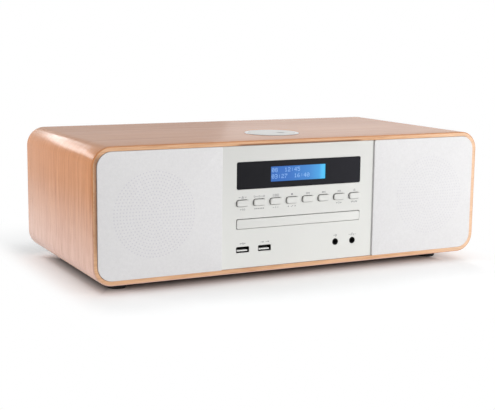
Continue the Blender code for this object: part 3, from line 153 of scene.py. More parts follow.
def spun_loops(profile, x, y, steps=64, deep=False):
    """Profile of (radius, along) as loops about an axis: upright through (x, depth), or deep through
    (x, height)."""
    profile = np.asarray(profile, float)
    angle = np.arange(steps) * 2 * math.pi / steps
    across = profile[:, :1] * np.cos(angle) + x
    aside = profile[:, :1] * np.sin(angle) + y
    along = np.broadcast_to(profile[:, 1:], across.shape)
    return np.stack([across, along, aside] if deep else [across, aside, along], -1)


def lathe(profile, x, y, steps=64, deep=False, ring=False):
    """Skin of a profile turned once. A ring's profile is closed, for a piece with a hole along its axis."""
    return loft(spun_loops(profile, x, y, steps, deep), ring)


def cushioned(line_at, front, rear, edge, steps=5):
    """Plate whose front edge is a quarter round: line_at(inset) gives the outline for each step of it."""
    rows = [at_depth(line_at(inset), front + back) for inset, back in quarter(edge, steps)]
    rows.append(at_depth(line_at(0), rear))
    return loft(rows)


def box_block(low, high, edge):
    """Block with rounded upright edges and quarter-round ends, both of one radius."""
    low = np.asarray(low, float)
    high = np.asarray(high, float)

    def line_at(inset):
        return inset_line(low, high, inset, max(edge - inset, 0.2 * edge), 3)

    ends = quarter(edge, 2)
    rows = [at_depth(line_at(inset), low[1] + back) for inset, back in ends]
    rows += [at_depth(line_at(inset), high[1] - back) for inset, back in ends[::-1]]
    return loft(rows)


def piece(name, blocks, finishes, body, nodes=(), angle=32):
    """Object of one or more closed blocks (points, faces[, finish number]) riding on a body in place of CAD
    nodes."""
    points, faces, marks = [], [], []
    count = 0
    for block in blocks:
        points.append(block[0])
        faces += [[corner + count for corner in face] for face in block[1]]
        number = block[2] if len(block) > 2 else 0
        marks += [number] * len(block[1]) if np.isscalar(number) else list(number)
        count += len(block[0])
    mesh = bpy.data.meshes.new(name)
    mesh.from_pydata(worldly(np.vstack(points)).tolist(), [], faces)
    mesh.polygons.foreach_set("material_index", np.array(marks, np.int32))
    work = bmesh.new()
    work.from_mesh(mesh)
    bmesh.ops.remove_doubles(work, verts=work.verts, dist=1e-7)
    bmesh.ops.recalc_face_normals(work, faces=work.faces)
    work.to_mesh(mesh)
    work.free()
    mesh.shade_smooth()
    mesh.set_sharp_from_angle(angle=math.radians(angle))
    for finish in finishes:
        mesh.materials.append(finish)
    made = bpy.data.objects.new(name, mesh)
    bpy.context.scene.collection.objects.link(made)
    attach(made, body)
    if nodes:
        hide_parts(*nodes)


# Finishes

class Signal:
    """Output socket of a finish's node. Sums with it add Math nodes to the same finish."""

    def __init__(self, finish, socket):
        self.finish = finish
        self.socket = socket

    def of(self, name):
        return Signal(self.finish, self.socket.node.outputs[name])

    def math(self, operation, *others):
        return self.finish.node("ShaderNodeMath", {"operation": operation}, dict(enumerate((self, *others))))

    def step(self, low, high):
        """Smooth rise from 0 at low to 1 at high."""
        settings = {"interpolation_type": "SMOOTHSTEP"}
        ends = {"Value": self, "From Min": low, "From Max": high}
        return self.finish.node("ShaderNodeMapRange", settings, ends)

    def __add__(self, other):
        return self.math("ADD", other)

    def __sub__(self, other):
        return self.math("SUBTRACT", other)

    def __rsub__(self, other):
        return self.finish.node("ShaderNodeMath", {"operation": "SUBTRACT"}, {0: other, 1: self})

    def __mul__(self, other):
        return self.math("MULTIPLY", other)

    def __truediv__(self, other):
        return self.math("DIVIDE", other)

    def __abs__(self):
        return self.math("ABSOLUTE")

    __radd__ = __add__
    __rmul__ = __mul__


class Finish:
    """Procedural material built around one Principled shader."""

    def __init__(self, name, **constants):
        self.material = bpy.data.materials.new(name)
        self.material.use_nodes = True
        self.tree = self.material.node_tree
        self.shader = self.tree.nodes["Principled BSDF"]
        for socket, value in constants.items():
            self.shader.inputs[socket.replace("_", " ")].default_value = value

    @classmethod
    def over(cls, tree):
        """Wraps a node tree that has no Principled shader."""
        made = cls.__new__(cls)
        made.tree = tree
        return made

    def node(self, kind, settings=(), inputs=(), output=0):
        """Adds a node: its settings are set first, then its sockets get values or links."""
        made = self.tree.nodes.new(kind)
        for key, value in dict(settings).items():
            if key == "stops":
                ramp = made.color_ramp
                while len(ramp.elements) < len(value):
                    ramp.elements.new(0.5)
                for element, (place, colour) in zip(ramp.elements, value):
                    element.position = place
                    element.color = (*colour, 1)
            else:
                setattr(made, key, value)
        for key, value in dict(inputs).items():
            self.put(made.inputs[key], value)
        return Signal(self, made.outputs[output])

    def put(self, socket, value):
        if isinstance(value, Signal):
            self.tree.links.new(value.socket, socket)
        else:
            socket.default_value = value

    def feed(self, **inputs):
        for key, value in inputs.items():
            self.put(self.shader.inputs[key.replace("_", " ")], value)

    def place(self):
        """Object coordinates in metres."""
        return self.node("ShaderNodeTexCoord", output="Object")

    def split(self, vector):
        """The three parts of a vector."""
        made = self.node("ShaderNodeSeparateXYZ", {}, {0: vector})
        return made, made.of("Y"), made.of("Z")

    def stretched(self, scale):
        """Object coordinates, each axis times its own number."""
        return self.node("ShaderNodeMapping", {}, {"Vector": self.place(), "Scale": scale})

    def noise(self, vector, scale, detail=2.0, roughness=0.5, distortion=0.0):
        inputs = {"Vector": vector, "Scale": scale, "Detail": detail}
        inputs |= {"Roughness": roughness, "Distortion": distortion}
        return self.node("ShaderNodeTexNoise", {}, inputs)

    def ramp(self, value, stops):
        return self.node("ShaderNodeValToRGB", {"stops": stops}, {0: value})

    def tint(self, factor, first, second):
        """Colour between two colours."""
        ends = {0: factor, 6: first if isinstance(first, Signal) else (*first, 1)}
        ends[7] = second if isinstance(second, Signal) else (*second, 1)
        return self.node("ShaderNodeMix", {"data_type": "RGBA"}, ends, output=2)

    def bump(self, height, strength, distance):
        inputs = {"Height": height, "Strength": strength, "Distance": distance}
        return self.node("ShaderNodeBump", {}, inputs)


def moulded(name, colour, roughness, grain=1800.0, relief=0.06, shift=0.06, rough_shift=0.06, **constants):
    """Moulded or coated surface: a soft drift of tone, fine grain in the relief and a little change of polish."""
    finish = Finish(name, **constants)
    drift = finish.noise(finish.place(), 28.0, 3.0)
    fine = finish.noise(finish.place(), grain, 2.0)
    dark = tuple(part * (1 - shift) for part in colour)
    light = tuple(min(part * (1 + shift), 1) for part in colour)
    finish.feed(
        Base_Color=finish.tint(drift, dark, light),
        Roughness=roughness - rough_shift + 2 * rough_shift * (0.5 * drift + 0.5 * fine),
        Normal=finish.bump(fine, relief, 0.0002),
    )
    return finish.material


def cherry_veneer():
    """Lacquered veneer whose grain runs along the wrap: fast change across the depth, slow along x and height.
    A painted reflection pales the tone and thickens the lacquer towards the underside, least at the right. Painted
    shade makes the left side darker and warmer high up; the left side also has the strongest grain. The lacquer
    lies thinner over the pores."""
    finish = Finish("cherry_veneer", Coat_Roughness=0.20, Coat_IOR=1.5, Specular_IOR_Level=0.0)
    sway = finish.noise(finish.stretched((4.0, 10.0, 4.0)), 2.0, 2.0)
    shift = finish.node("ShaderNodeCombineXYZ", {}, {"Y": 1.2 * sway})
    parts = {0: finish.stretched((1.0, 60.0, 1.0)), 1: shift}
    bent = finish.node("ShaderNodeVectorMath", {"operation": "ADD"}, parts)
    figure = finish.noise(bent, 5.0, 4.0, 0.6)
    lines = finish.noise(finish.stretched((5.0, 420.0, 5.0)), 3.0, 3.0, 0.65)
    pores = finish.noise(finish.stretched((26.0, 1300.0, 26.0)), 2.2, 2.0).step(0.56, 0.72)
    drift = finish.noise(finish.place(), 9.0, 2.0)
    x, _, z = finish.split(finish.place())
    side = (-1 * x).step(0.196, 0.2095)
    upward = z - ORIGIN[2]
    # Painted shade: high up on the left side the tone turns darker and warmer.
    painted_shade_high_left = side * upward.step(0.062, 0.108)
    # Painted reflection: the tone pales and the lacquer thickens towards the underside, least at the right.
    painted_reflection_low = (1 - upward.step(0.005, 0.092)) * (1 - 0.7 * x.step(0.10, 0.20))
    tone = 0.5 + (0.78 + 0.5 * side) * (0.42 * figure + 0.42 * lines + 0.16 * drift - 0.5)
    colour = finish.ramp(
        tone,
        [(0.30, (0.420, 0.156, 0.062)), (0.50, (0.590, 0.262, 0.116)), (0.70, (0.710, 0.358, 0.178))],
    )
    colour = finish.tint(0.76 * painted_reflection_low, colour, (0.775, 0.545, 0.475))
    colour = finish.tint(0.66 * painted_shade_high_left, colour, (0.610, 0.235, 0.075))
    streaks = (0.34 + 0.20 * side) * pores + 0.26 * side * (1 - lines.step(0.36, 0.56))
    finish.feed(
        Base_Color=finish.tint(streaks, colour, (0.280, 0.104, 0.042)),
        Roughness=0.40 + 0.12 * lines + 0.06 * pores,
        Coat_Weight=0.36 + 0.42 * lines + 0.16 * painted_reflection_low - 0.20 * pores,
        Normal=finish.bump(lines - 0.5 * pores, 0.12, 0.0002),
    )
    return finish.material


def veneer_edge(half, height):
    """Cut edge of the wrap: wood with its grain along x, streaked in height, lightly sealed. Painted shade darkens
    it on the left upright, fading out low down, and along the middle of the top, and painted light pales it
    towards the right."""
    finish = Finish("veneer_edge", Coat_Weight=0.25, Coat_Roughness=0.3)
    streak = finish.noise(finish.stretched((20.0, 60.0, 480.0)), 1.6, 3.0, 0.6)
    slow = finish.noise(finish.stretched((4.0, 20.0, 30.0)), 3.0, 2.0)
    x, _, z = finish.split(finish.place())
    upward = z / MM - ORIGIN[2] / MM
    inward = x / MM + half
    # Painted shade: on the inner part of the left upright, fading out low down and near the top, and on the lower
    # part of the top rim over the middle.
    upright = inward.step(0.0, 4.0) * (1 - inward.step(9.0, 16.0))
    upright = upright * upward.step(12.0, 48.0) * (1 - upward.step(height - 14.0, height - 4.0))
    along = (height - upward).step(2.4, 3.6) * (1 - abs(x / MM).step(62.0, 72.0)) * upward.step(90.0, 100.0)
    painted_rim_shade = (0.90 * upright + 1.05 * along) * (0.45 + 0.95 * streak)
    tone = 0.65 * streak + 0.35 * slow
    wood = finish.ramp(
        tone,
        [(0.30, (0.450, 0.204, 0.094)), (0.50, (0.690, 0.398, 0.222)), (0.70, (0.790, 0.492, 0.302))],
    )
    # Painted light: the edge pales towards the right.
    wood = finish.tint(0.50 * x.step(0.12, 0.208), wood, (0.900, 0.660, 0.470))
    finish.feed(
        Base_Color=finish.tint(painted_rim_shade, wood, (0.215, 0.092, 0.040)),
        Roughness=0.42 + 0.14 * streak,
        Normal=finish.bump(streak, 0.12, 0.0002),
    )
    return finish.material


def grille_cloth(middle_x, middle_z):
    """Acoustic cloth over a perforated board: woven mottle, and faint holes in evenly spaced rings, each ring with
    the same number of holes more than the one inside it. The holes are fainter on the right."""
    pitch, more, ring_count = 3.0, 6, 13.5
    finish = Finish("grille_cloth", Sheen_Weight=0.15, Sheen_Roughness=0.5)
    x, _, z = finish.split(finish.place())
    across = abs(x) / MM - middle_x
    upward = z / MM - middle_z
    radius = (across * across + upward * upward).math("SQRT")
    ring = (radius / pitch).math("ROUND")
    off_ring = radius - pitch * ring
    turn = upward.math("ARCTAN2", across) * (more / (2 * math.pi)) * ring
    off_turn = (turn - turn.math("ROUND")) * (pitch * 2 * math.pi / more)
    hole = 1 - (off_ring * off_ring + off_turn * off_turn).math("SQRT").step(0.42, 0.80)
    hole = hole * ring.math("LESS_THAN", ring_count)
    threads = finish.noise(finish.place(), 1500.0, 2.0, 0.6)
    mottle = finish.noise(finish.place(), 420.0, 3.0, 0.6)
    cloth = finish.tint(0.5 * threads + 0.5 * mottle, (0.636, 0.628, 0.634), (0.806, 0.800, 0.804))
    finish.feed(
        Base_Color=finish.tint((0.42 - 0.16 * x.step(-0.05, 0.05)) * hole, cloth, (0.48, 0.46, 0.55)),
        Roughness=0.82 + 0.12 * threads,
        Normal=finish.bump(0.6 * threads + 0.4 * mottle - 0.8 * hole, 0.22, 0.0003),
    )
    return finish.material


def panel_paint(low, high):
    """Satin paint on the front moulding: fine stipple, a slow drift of tone, and painted shade that darkens it
    towards the top, most at the upper left.
    """
    finish = Finish("panel_paint", Specular_IOR_Level=0.35)
    drift = finish.noise(finish.place(), 16.0, 2.0)
    stipple = finish.noise(finish.place(), 2600.0, 2.0)
    x, _, z = finish.split(finish.place())
    run = (x - low[0]) / (high[0] - low[0])
    rise = (z - low[2]) / (high[2] - low[2])
    # Painted shade: darker towards the top, most at the upper left.
    painted_shade_upper = rise * (0.36 - 0.20 * run)
    paint = finish.tint(drift, (0.715, 0.718, 0.692), (0.755, 0.757, 0.732))
    finish.feed(
        Base_Color=finish.tint(painted_shade_upper, paint, (0.42, 0.42, 0.41)),
        Roughness=0.36 + 0.10 * stipple,
        Normal=finish.bump(stipple, 0.05, 0.0001),
    )
    return finish.material


def black_gloss(x0, x1):
    """Polished black window: a trace of haze in the polish, and a painted reflection that lifts the tone from left
    to right.
    """
    finish = Finish("black_gloss", Specular_IOR_Level=0.13)
    haze = finish.noise(finish.place(), 60.0, 3.0)
    x, _, _ = finish.split(finish.place())
    # Painted reflection: the black lifts from left to right.
    run = (x - x0) / (x1 - x0)
    finish.feed(
        Base_Color=finish.tint(0.25 * haze + 0.75 * run, (0.007, 0.007, 0.009), (0.020, 0.020, 0.025)),
        Roughness=0.05 + 0.06 * haze,
    )
    return finish.material


def screen_glow(x0, x1):
    """Lit screen: blue at the left to a bright cyan strip beside the lamp at the right, with faint cell rows."""
    finish = Finish("screen_glow", Emission_Strength=1.0, Roughness=0.4, Specular_IOR_Level=0.1)
    x, _, z = finish.split(finish.place())
    run = (x - x0) / (x1 - x0)
    cell_pitch = 0.5 * MM
    cells = (z * (2 * math.pi / cell_pitch)).math("SINE") * 0.5 + 0.5
    glow = finish.ramp(
        run,
        [
            (0.0, (0.034, 0.118, 0.400)),
            (0.35, (0.040, 0.142, 0.445)),
            (0.70, (0.056, 0.225, 0.550)),
            (0.89, (0.070, 0.350, 0.690)),
            (0.94, (0.090, 0.520, 0.860)),
            (1.0, (0.100, 0.590, 0.930)),
        ],
    )
    finish.feed(
        Base_Color=finish.tint(cells, (0.02, 0.05, 0.12), (0.03, 0.06, 0.14)),
        Emission_Color=finish.tint(0.10 * cells, glow, (0.02, 0.05, 0.25)),
    )
    return finish.material


def screen_dots():
    """Pale lit cells of the characters."""
    finish = Finish("screen_dots", Emission_Strength=0.85, Roughness=0.4)
    drift = finish.noise(finish.place(), 300.0, 2.0)
    finish.feed(
        Base_Color=finish.tint(drift, (0.10, 0.15, 0.25), (0.12, 0.18, 0.28)),
        Emission_Color=finish.tint(drift, (0.20, 0.40, 0.74), (0.28, 0.50, 0.82)),
    )
    return finish.material


def spun_silver(name, colour, middle):
    """Spun and anodised metal: fine rings about the dial's axis in its polish and relief."""
    finish = Finish(name, Metallic=0.85)
    shift = {"Vector": finish.place(), "Location": (-middle[0], -middle[1], 0)}
    x, y, _ = finish.split(finish.node("ShaderNodeMapping", {}, shift))
    radius = (x * x + y * y).math("SQRT")
    rings = finish.noise(finish.node("ShaderNodeCombineXYZ", {}, {"X": radius}), 5200.0, 3.0, 0.7)
    drift = finish.noise(finish.place(), 40.0, 2.0)
    finish.feed(
        Base_Color=finish.tint(0.6 * rings + 0.4 * drift, tuple(0.86 * part for part in colour), colour),
        Roughness=0.26 + 0.14 * rings,
        Normal=finish.bump(rings, 0.05, 0.0001),
    )
    return finish.material


def brushed(name, colour, roughness, along):
    """Plated or rolled metal: streaks drawn out along one axis."""
    finish = Finish(name, Metallic=1.0)
    scale = [900.0, 900.0, 900.0]
    scale[along] = 30.0
    streak = finish.noise(finish.stretched(tuple(scale)), 1.0, 3.0, 0.6)
    drift = finish.noise(finish.place(), 50.0, 2.0)
    dark = tuple(part * 0.86 for part in colour)
    finish.feed(
        Base_Color=finish.tint(0.5 * streak + 0.5 * drift, dark, colour),
        Roughness=roughness - 0.06 + 0.16 * streak,
        Normal=finish.bump(streak, 0.08, 0.0001),
    )
    return finish.material


def pressed_fibre(name, scale, distortion, dark, light, rough_change, relief, distance):
    """Pressed paper or board: tangled fibres in two tones, with a felted relief."""
    finish = Finish(name)
    fibres = finish.noise(finish.place(), scale, 4.0, 0.7, distortion)
    finish.feed(
        Base_Color=finish.tint(fibres, dark, light),
        Roughness=0.80 + rough_change * fibres,
        Normal=finish.bump(fibres, relief, distance),
    )
    return finish.material


def laminate():
    """Circuit board: green lacquer over a grid of paths, with the glass weave in the relief."""
    finish = Finish("circuit_board", Coat_Weight=0.5, Coat_Roughness=0.2)
    paths = finish.node(
        "ShaderNodeTexBrick",
        {"offset": 0.4, "squash": 1.6},
        {"Vector": finish.stretched((260.0, 260.0, 260.0)), "Scale": 1.0, "Mortar Size": 0.06},
        output="Fac",
    )
    blotch = finish.noise(finish.place(), 120.0, 3.0)
    green = finish.tint(blotch, (0.010, 0.085, 0.035), (0.018, 0.120, 0.050))
    finish.feed(
        Base_Color=finish.tint(0.6 * paths, green, (0.035, 0.190, 0.080)),
        Roughness=0.38 + 0.14 * blotch,
        Normal=finish.bump(paths, 0.15, 0.0001),
    )
    return finish.material


# Pieces of the outside

BEND_STEPS = 20
PATCH_STEPS = 16
BEZEL_LIP = 1.8
SCREEN_BORDER = 10.0


def wrap_line(inset, width, height, radius, hole):
    """Outline of the wrap: four quarter circles, with evenly set points along the top over the dial's hole."""
    bend = rounded_line(
        inset - width / 2, width / 2 - inset, inset, height - inset, radius - inset, BEND_STEPS
    ).reshape(4, -1, 2)
    run = np.linspace(hole, -hole, PATCH_STEPS + 1)
    over = np.column_stack([run, np.full(len(run), height - inset)])
    return np.vstack([bend[0], bend[1], over, bend[2], bend[3]])


def cabinet_wrap(veneer, edge):
    """Bent wrap: the wall's section carried round the outline, with a round hole in the top for the dial's cup.
    Round the hole, the square patch of the grid gives way to rings running from that square to the circle."""
    low, high = extent("cabinet_shell")
    width, depth, height = high - low
    wall, radius, ledge = 4.5, 18.5, 6.0
    outer_round, inner_round, rear_round, chamfer = 1.0, 0.7, 0.8, 0.5
    gap, margin = 0.3, 4.0
    dial_low, dial_high = extent("dial_bezel")
    middle = (dial_low[1] + dial_high[1]) / 2
    bore = (dial_high[0] - dial_low[0]) / 2 - BEZEL_LIP
    square = bore + margin
    front_stop = extent("front_baffle")[1][1] + gap
    rear_stop = extent("rear_panel")[0][1] - gap
    patch = middle + np.linspace(-square, square, PATCH_STEPS + 1)
    deep = wall + ledge
    section = [(inset, back) for inset, back in quarter(outer_round, 6)]
    outer_first = len(section)
    section += [(0, place) for place in patch]
    section += [(inset, depth - back) for inset, back in quarter(rear_round, 4)[::-1]]
    rear_rim = len(section) - 1
    section += [(wall - chamfer, depth), (wall, depth - chamfer)]
    section += [(wall, rear_stop), (deep, rear_stop), (deep, rear_stop - ledge), (wall, rear_stop - ledge)]
    inner_first = len(section)
    section += [(wall, place) for place in patch[::-1]]
    section += [(wall, front_stop + ledge), (deep, front_stop + ledge), (deep, front_stop), (wall, front_stop)]
    front_rim = len(section)
    section += [(wall - inset, back) for inset, back in quarter(inner_round, 8)[::-1]]
    lines = [wrap_line(inset, width, height, radius, square) for inset, _ in section]
    loops = np.array([at_depth(line, back) for line, (_, back) in zip(lines, section)])
    rows, cols = loops.shape[:2]
    faces = weave(rows, cols, True)
    row = faces[:, 0] // cols
    col = faces[:, 0] % cols
    first_col = 2 * (BEND_STEPS + 1)
    over = (col >= first_col) & (col < first_col + PATCH_STEPS)
    outer = over & (row >= outer_first) & (row < outer_first + PATCH_STEPS)
    inside = over & (row >= inner_first) & (row < inner_first + PATCH_STEPS)
    rim = (row >= front_rim) | (row == rear_rim)
    keep = ~(outer | inside)

    step = np.arange(PATCH_STEPS)
    start, stop = np.zeros_like(step), np.full_like(step, PATCH_STEPS)
    side_row = np.concatenate([start, step, stop, PATCH_STEPS - step])
    side_col = np.concatenate([step, stop, PATCH_STEPS - step, start]) + first_col
    around = len(side_row)
    outer_ring = (outer_first + side_row) * cols + side_col
    inner_ring = (inner_first + PATCH_STEPS - side_row) * cols + side_col
    spokes = loops.reshape(-1, 3)[outer_ring] - np.array([0, middle, height])
    bearing = np.arctan2(spokes[:, 1], spokes[:, 0])
    circle = np.column_stack([bore * np.cos(bearing), middle + bore * np.sin(bearing), np.full(around, height)])
    lower = circle - np.array([0, 0, wall])
    points = np.vstack([loops.reshape(-1, 3), circle, lower])
    circle_ring = rows * cols + np.arange(around)
    lower_ring = circle_ring + around
    bands = []
    for near, far in ((outer_ring, circle_ring), (circle_ring, lower_ring), (lower_ring, inner_ring)):
        bands.append(np.stack([near, np.roll(near, -1), np.roll(far, -1), far], -1))
    every = np.vstack([faces[keep], *bands])
    marks = np.concatenate([rim[keep].astype(int), np.zeros(len(bands) * around, int)])
    block = (points, every.tolist(), marks)
    piece("cabinet_wrap", [block], [veneer, edge], "cabinet", ["cabinet_shell"])


def cloth_grilles(cloth):
    """Two cloth-covered boards: rounded outline with a quarter-round edge where the cloth turns over."""
    wider, sunk, thick, edge_round = 0.2, 0.5, 3.5, 0.4
    big, small, least = 13.9, 1.2, 0.15
    for side in ("left", "right"):
        low, high = extent(f"{side}_grille")
        low += np.array([-wider if side == "left" else 0.0, sunk, -wider])
        high += np.array([wider if side == "right" else 0.0, 0.0, wider])
        radii = np.array([big, big, small, small] if side == "right" else [small, small, big, big])

        def line_at(inset):
            return inset_line(low, high, inset, np.maximum(radii - inset, least), 14)

        block = cushioned(line_at, low[1], low[1] + thick, edge_round, 6)
        piece(f"{side}_cloth_grille", [block], [cloth], "cabinet", [f"{side}_grille"])


def push_buttons(paint, gap_shade_finish):
    """Eight flat keys: rounded outline with a quarter-round shoulder, on a dark skirt that widens to a flange and
    narrows to a stem. The dark begins just before the panel's face, as painted shade in the gap round each key."""
    face = extent("front_panel")[0][1]
    parting, seat = face - 0.5, face + 3.3
    margin, corner, shoulder_round, dish = 2.2, 2.0, 0.7, 0.06
    flange, clear, stem_side = 1.0, 0.03, 4.0
    for name in BUTTONS:
        low, high = extent(f"{name}_button")
        x, _, z = (low + high) / 2
        width = high[0] - low[0] - margin
        height = high[2] - low[2] - margin
        front = low[1]

        def line_at(inset):
            return centred_line(x, z, width - 2 * inset, height - 2 * inset, max(corner - inset, 0.3), 7)

        crown = [(inset, front + rise) for inset, rise in ((2.4, 0.0), (1.6, 0.01), (1.0, 0.04))]
        shoulder = [(inset, front + dish + back) for inset, back in quarter(shoulder_round, 6)]
        cap = [at_depth(line_at(inset), depth) for inset, depth in crown + shoulder]
        cap.append(at_depth(line_at(0), parting))
        # Painted shade: from half a millimetre before the panel's face back, the key is dark, which darkens the
        # gap round it.
        skirt = [(flange, parting), (clear, parting), (clear, seat), (-flange, seat), (-flange, seat + flange)]
        stem = centred_line(x, z, stem_side, stem_side, 0.5, 7)
        lower = [at_depth(line_at(inset), depth) for inset, depth in skirt]
        lower += [at_depth(stem, seat + flange), at_depth(stem, high[1])]
        blocks = [(*loft(cap), 0), (*loft(lower), 1)]
        piece(f"{name}_key", blocks, [paint, gap_shade_finish], name, [f"{name}_button"])


def drawer_front(paint):
    """Drawer front: thin plate with softened edges and corners, seated a little low and to the right in its
    opening."""
    low, high = extent("tray_front")
    forward, corner, edge_round = 0.3, 1.3, 0.4
    left_gap, right_gap, lower_gap, upper_gap = 0.45, 0.05, 0.05, 0.35
    low += np.array([left_gap, -forward, lower_gap])
    high -= np.array([right_gap, 0.0, upper_gap])

    def line_at(inset):
        return inset_line(low, high, inset, corner - inset, 6)

    block = cushioned(line_at, low[1], high[1], edge_round, 4)
    piece("drawer_front", [block], [paint], "tray", ["tray_front"])


def lit_display(glow, dots, dark):
    """Screen in its case, and its lit cells."""
    low, high = extent("lcd_module")
    x, _, z = (low + high) / 2
    case_wide, case_tall = high[0] - low[0], high[2] - low[2]
    wide, tall = case_wide - 2 * SCREEN_BORDER, case_tall - SCREEN_BORDER
    frame_wide, frame_tall, shelf = wide + 2, tall + 2, 4.3
    steps = [(frame_wide, frame_tall, low[1]), (frame_wide, frame_tall, shelf), (case_wide, case_tall, shelf)]
    steps.append((case_wide, case_tall, high[1]))
    rows = [at_depth(centred_line(x, z, across, up, 0.4, 3), depth) for across, up, depth in steps]
    module = loft(rows)
    count = len(rows[0])
    marks = np.zeros(len(module[1]), int)
    marks[-2 * count : -count] = 1
    piece("screen_module", [(*module, marks)], [dark, glow], "cabinet", ["lcd_module"])

    words = ("08  12:45", "03:27  16:40")
    font = {
        "0": "01110 10001 10011 10101 11001 10001 01110",
        "1": "00100 01100 00100 00100 00100 00100 01110",
        "2": "01110 10001 00001 00110 01000 10000 11111",
        "3": "11110 00001 00001 01110 00001 00001 11110",
        "4": "00010 00110 01010 10010 11111 00010 00010",
        "5": "11111 10000 11110 00001 00001 10001 01110",
        "6": "00110 01000 10000 11110 10001 10001 01110",
        "7": "11111 00001 00010 00100 01000 01000 01000",
        "8": "01110 10001 10001 01110 10001 10001 01110",
        ":": "00000 00100 00100 00000 00100 00100 00000",
        " ": "00000 00000 00000 00000 00000 00000 00000",
    }
    pitch, letter_pitch, indent = 0.56, 3.5, 2.2
    tops = (z + 5.2, z - 0.9)
    spots = []
    for line, top in zip(words, tops):
        for place, letter in enumerate(line):
            cells = np.array([[int(cell) for cell in row] for row in font[letter].split()])
            down, across = np.nonzero(cells)
            left = x - wide / 2 + indent + place * letter_pitch
            spots.append(np.column_stack([left + across * pitch, top - down * pitch]))
    spots = np.vstack(spots)
    cube = np.array([(a, b, c) for b in (0, 1) for a, c in ((-1, -1), (1, -1), (1, 1), (-1, 1))], float)
    size = np.array([0.45 * pitch, 0.05, 0.45 * pitch])
    base = np.column_stack([spots[:, 0], np.full(len(spots), low[1] - 0.06), spots[:, 1]])
    points = (base[:, None, :] + cube[None, :, :] * size).reshape(-1, 3)
    sides = np.array([[0, 1, 2, 3], [4, 7, 6, 5], [0, 4, 5, 1], [1, 5, 6, 2], [2, 6, 7, 3], [3, 7, 4, 0]])
    faces = (sides[None] + 8 * np.arange(len(spots))[:, None, None]).reshape(-1, 4)
    piece("screen_characters", [(points, faces.tolist())], [dots], "cabinet", ())


def front_sockets(tin, dark, white, gold):
    """Two USB mouths with their tongues and contacts, and two jack mouths turned about their bores."""
    sheet, tongue_end, tongue_thick = 0.25, 5.0, 1.2
    for side in ("left", "right"):
        low, high = extent(f"{side}_usb_socket")
        x, _, z = (low + high) / 2
        wide, tall = high[0] - low[0], high[2] - low[2]
        front, rear = low[1], high[1]

        def at(shrink, depth):
            line = centred_line(x, z, wide - 2 * shrink, tall - 2 * shrink, 0.6 - 0.5 * shrink, 4)
            return at_depth(line, depth)

        can_steps = [(0, front + 1.2), (0, rear), (sheet, rear), (sheet, front + 1.2)]
        can = loft([at(shrink, depth) for shrink, depth in can_steps], ring=True)
        lining_steps = [(0.5, rear - 2), (0.5, front + 0.3), (0.02, front + 0.1), (0.02, front + 1.1)]
        lining_steps += [(0.3, front + 1.1), (0.3, rear - 0.1)]
        lining = loft([at(shrink, depth) for shrink, depth in lining_steps])
        foot = low[2] + 1.05
        head = foot + tongue_thick
        tongue = box_block((x - 5.95, front + 0.8, foot), (x + 5.4, front + tongue_end, head), 0.15)
        root = box_block((x - 5.9, front + tongue_end, foot), (x + 5.4, rear - 1.9, head), 0.15)
        contacts = [
            box_block((x + shift - 0.5, front + 2.0, foot - 0.1), (x + shift + 0.5, front + 4.6, foot), 0.04)
            for shift in (-3.5, -1.2, 1.2, 3.5)
        ]
        blocks = [(*can, 0), (*lining, 1), (*tongue, 2), (*root, 1)]
        blocks += [(*contact, 3) for contact in contacts]
        finishes = [tin, dark, white, gold]
        piece(f"{side}_usb_mouth", blocks, finishes, "cabinet", [f"{side}_usb_socket"])
    for name in ("aux", "headphone"):
        low, high = extent(f"{name}_jack")
        x = (low[0] + high[0]) / 2
        z = high[2] - 4.5
        front, rear, seat = low[1], high[1], extent("front_panel")[0][1] + 3.4
        profile = [(0, rear - 2), (1.8, rear - 2), (1.8, front + 0.7), (2.0, front + 0.35), (2.4, front + 0.1)]
        profile += [(2.75, front), (2.97, front + 0.06), (3.1, front + 0.25), (3.1, seat), (3.9, seat)]
        profile += [(3.9, rear), (0, rear)]
        mouth = lathe(profile, x, z, 48, True)
        piece(f"{name}_jack_mouth", [mouth], [dark], "cabinet", [f"{name}_jack"])


def dial_pieces(silver, bezel_silver):
    """Bezel turned from its section, and the dial: a disc whose top sinks by a spherical dimple near its rim."""
    low, high = extent("dial_bezel")
    y = (low[1] + high[1]) / 2
    far = (high[0] - low[0]) / 2
    cup = extent("volume_dial")[1][0] + 0.4
    top, foot = high[2], low[2]
    face = extent("cabinet_shell")[1][2]
    hole = far - BEZEL_LIP - 0.3
    seat, bore, floor = face + 0.2, 3.4, foot + 1.5
    edge = [(far - inset, top - back) for inset, back in quarter(0.45, 5)]
    lip = [(cup + inset, top - back) for inset, back in quarter(0.3, 4)[::-1]]
    section = lip + edge + [(far, seat), (hole, seat), (hole, foot), (bore, foot), (bore, floor), (cup, floor)]
    bezel = lathe(section, 0, y, 128, ring=True)
    piece("dial_ring", [bezel], [bezel_silver], "cabinet", ["dial_bezel"])

    low, high = extent("volume_dial")
    radius = (high[0] - low[0]) / 2
    top = high[2]
    steps, rings, edge_round = 128, 44, 0.5
    angle = np.arange(steps) * 2 * math.pi / steps
    inset, back = quarter(edge_round, 5).T
    reach = np.concatenate([np.linspace(0.05, radius - 0.6, rings), radius - inset])
    drop = np.concatenate([np.zeros(rings), back])
    across = reach[:, None] * np.cos(angle)
    aside = reach[:, None] * np.sin(angle)
    ball, sink, dimple_x, dimple_y = 12.0, 1.0, 7.9, -4.4
    off = (across - dimple_x) ** 2 + (aside - dimple_y) ** 2
    cap = np.sqrt(np.maximum(ball**2 - off, 0)) - (ball - sink)
    level = top - drop[:, None] - np.maximum(cap, 0)
    crown = np.stack([across, aside + y, level], -1)
    under, shaft = face - 3.0, 3.0
    skirt = [(radius, under), (shaft, under), (shaft, low[2])]
    block = loft(np.concatenate([crown, spun_loops(skirt, 0, y, steps)]))
    piece("spun_dial", [block], [silver], "dial", ["volume_dial"], 24)


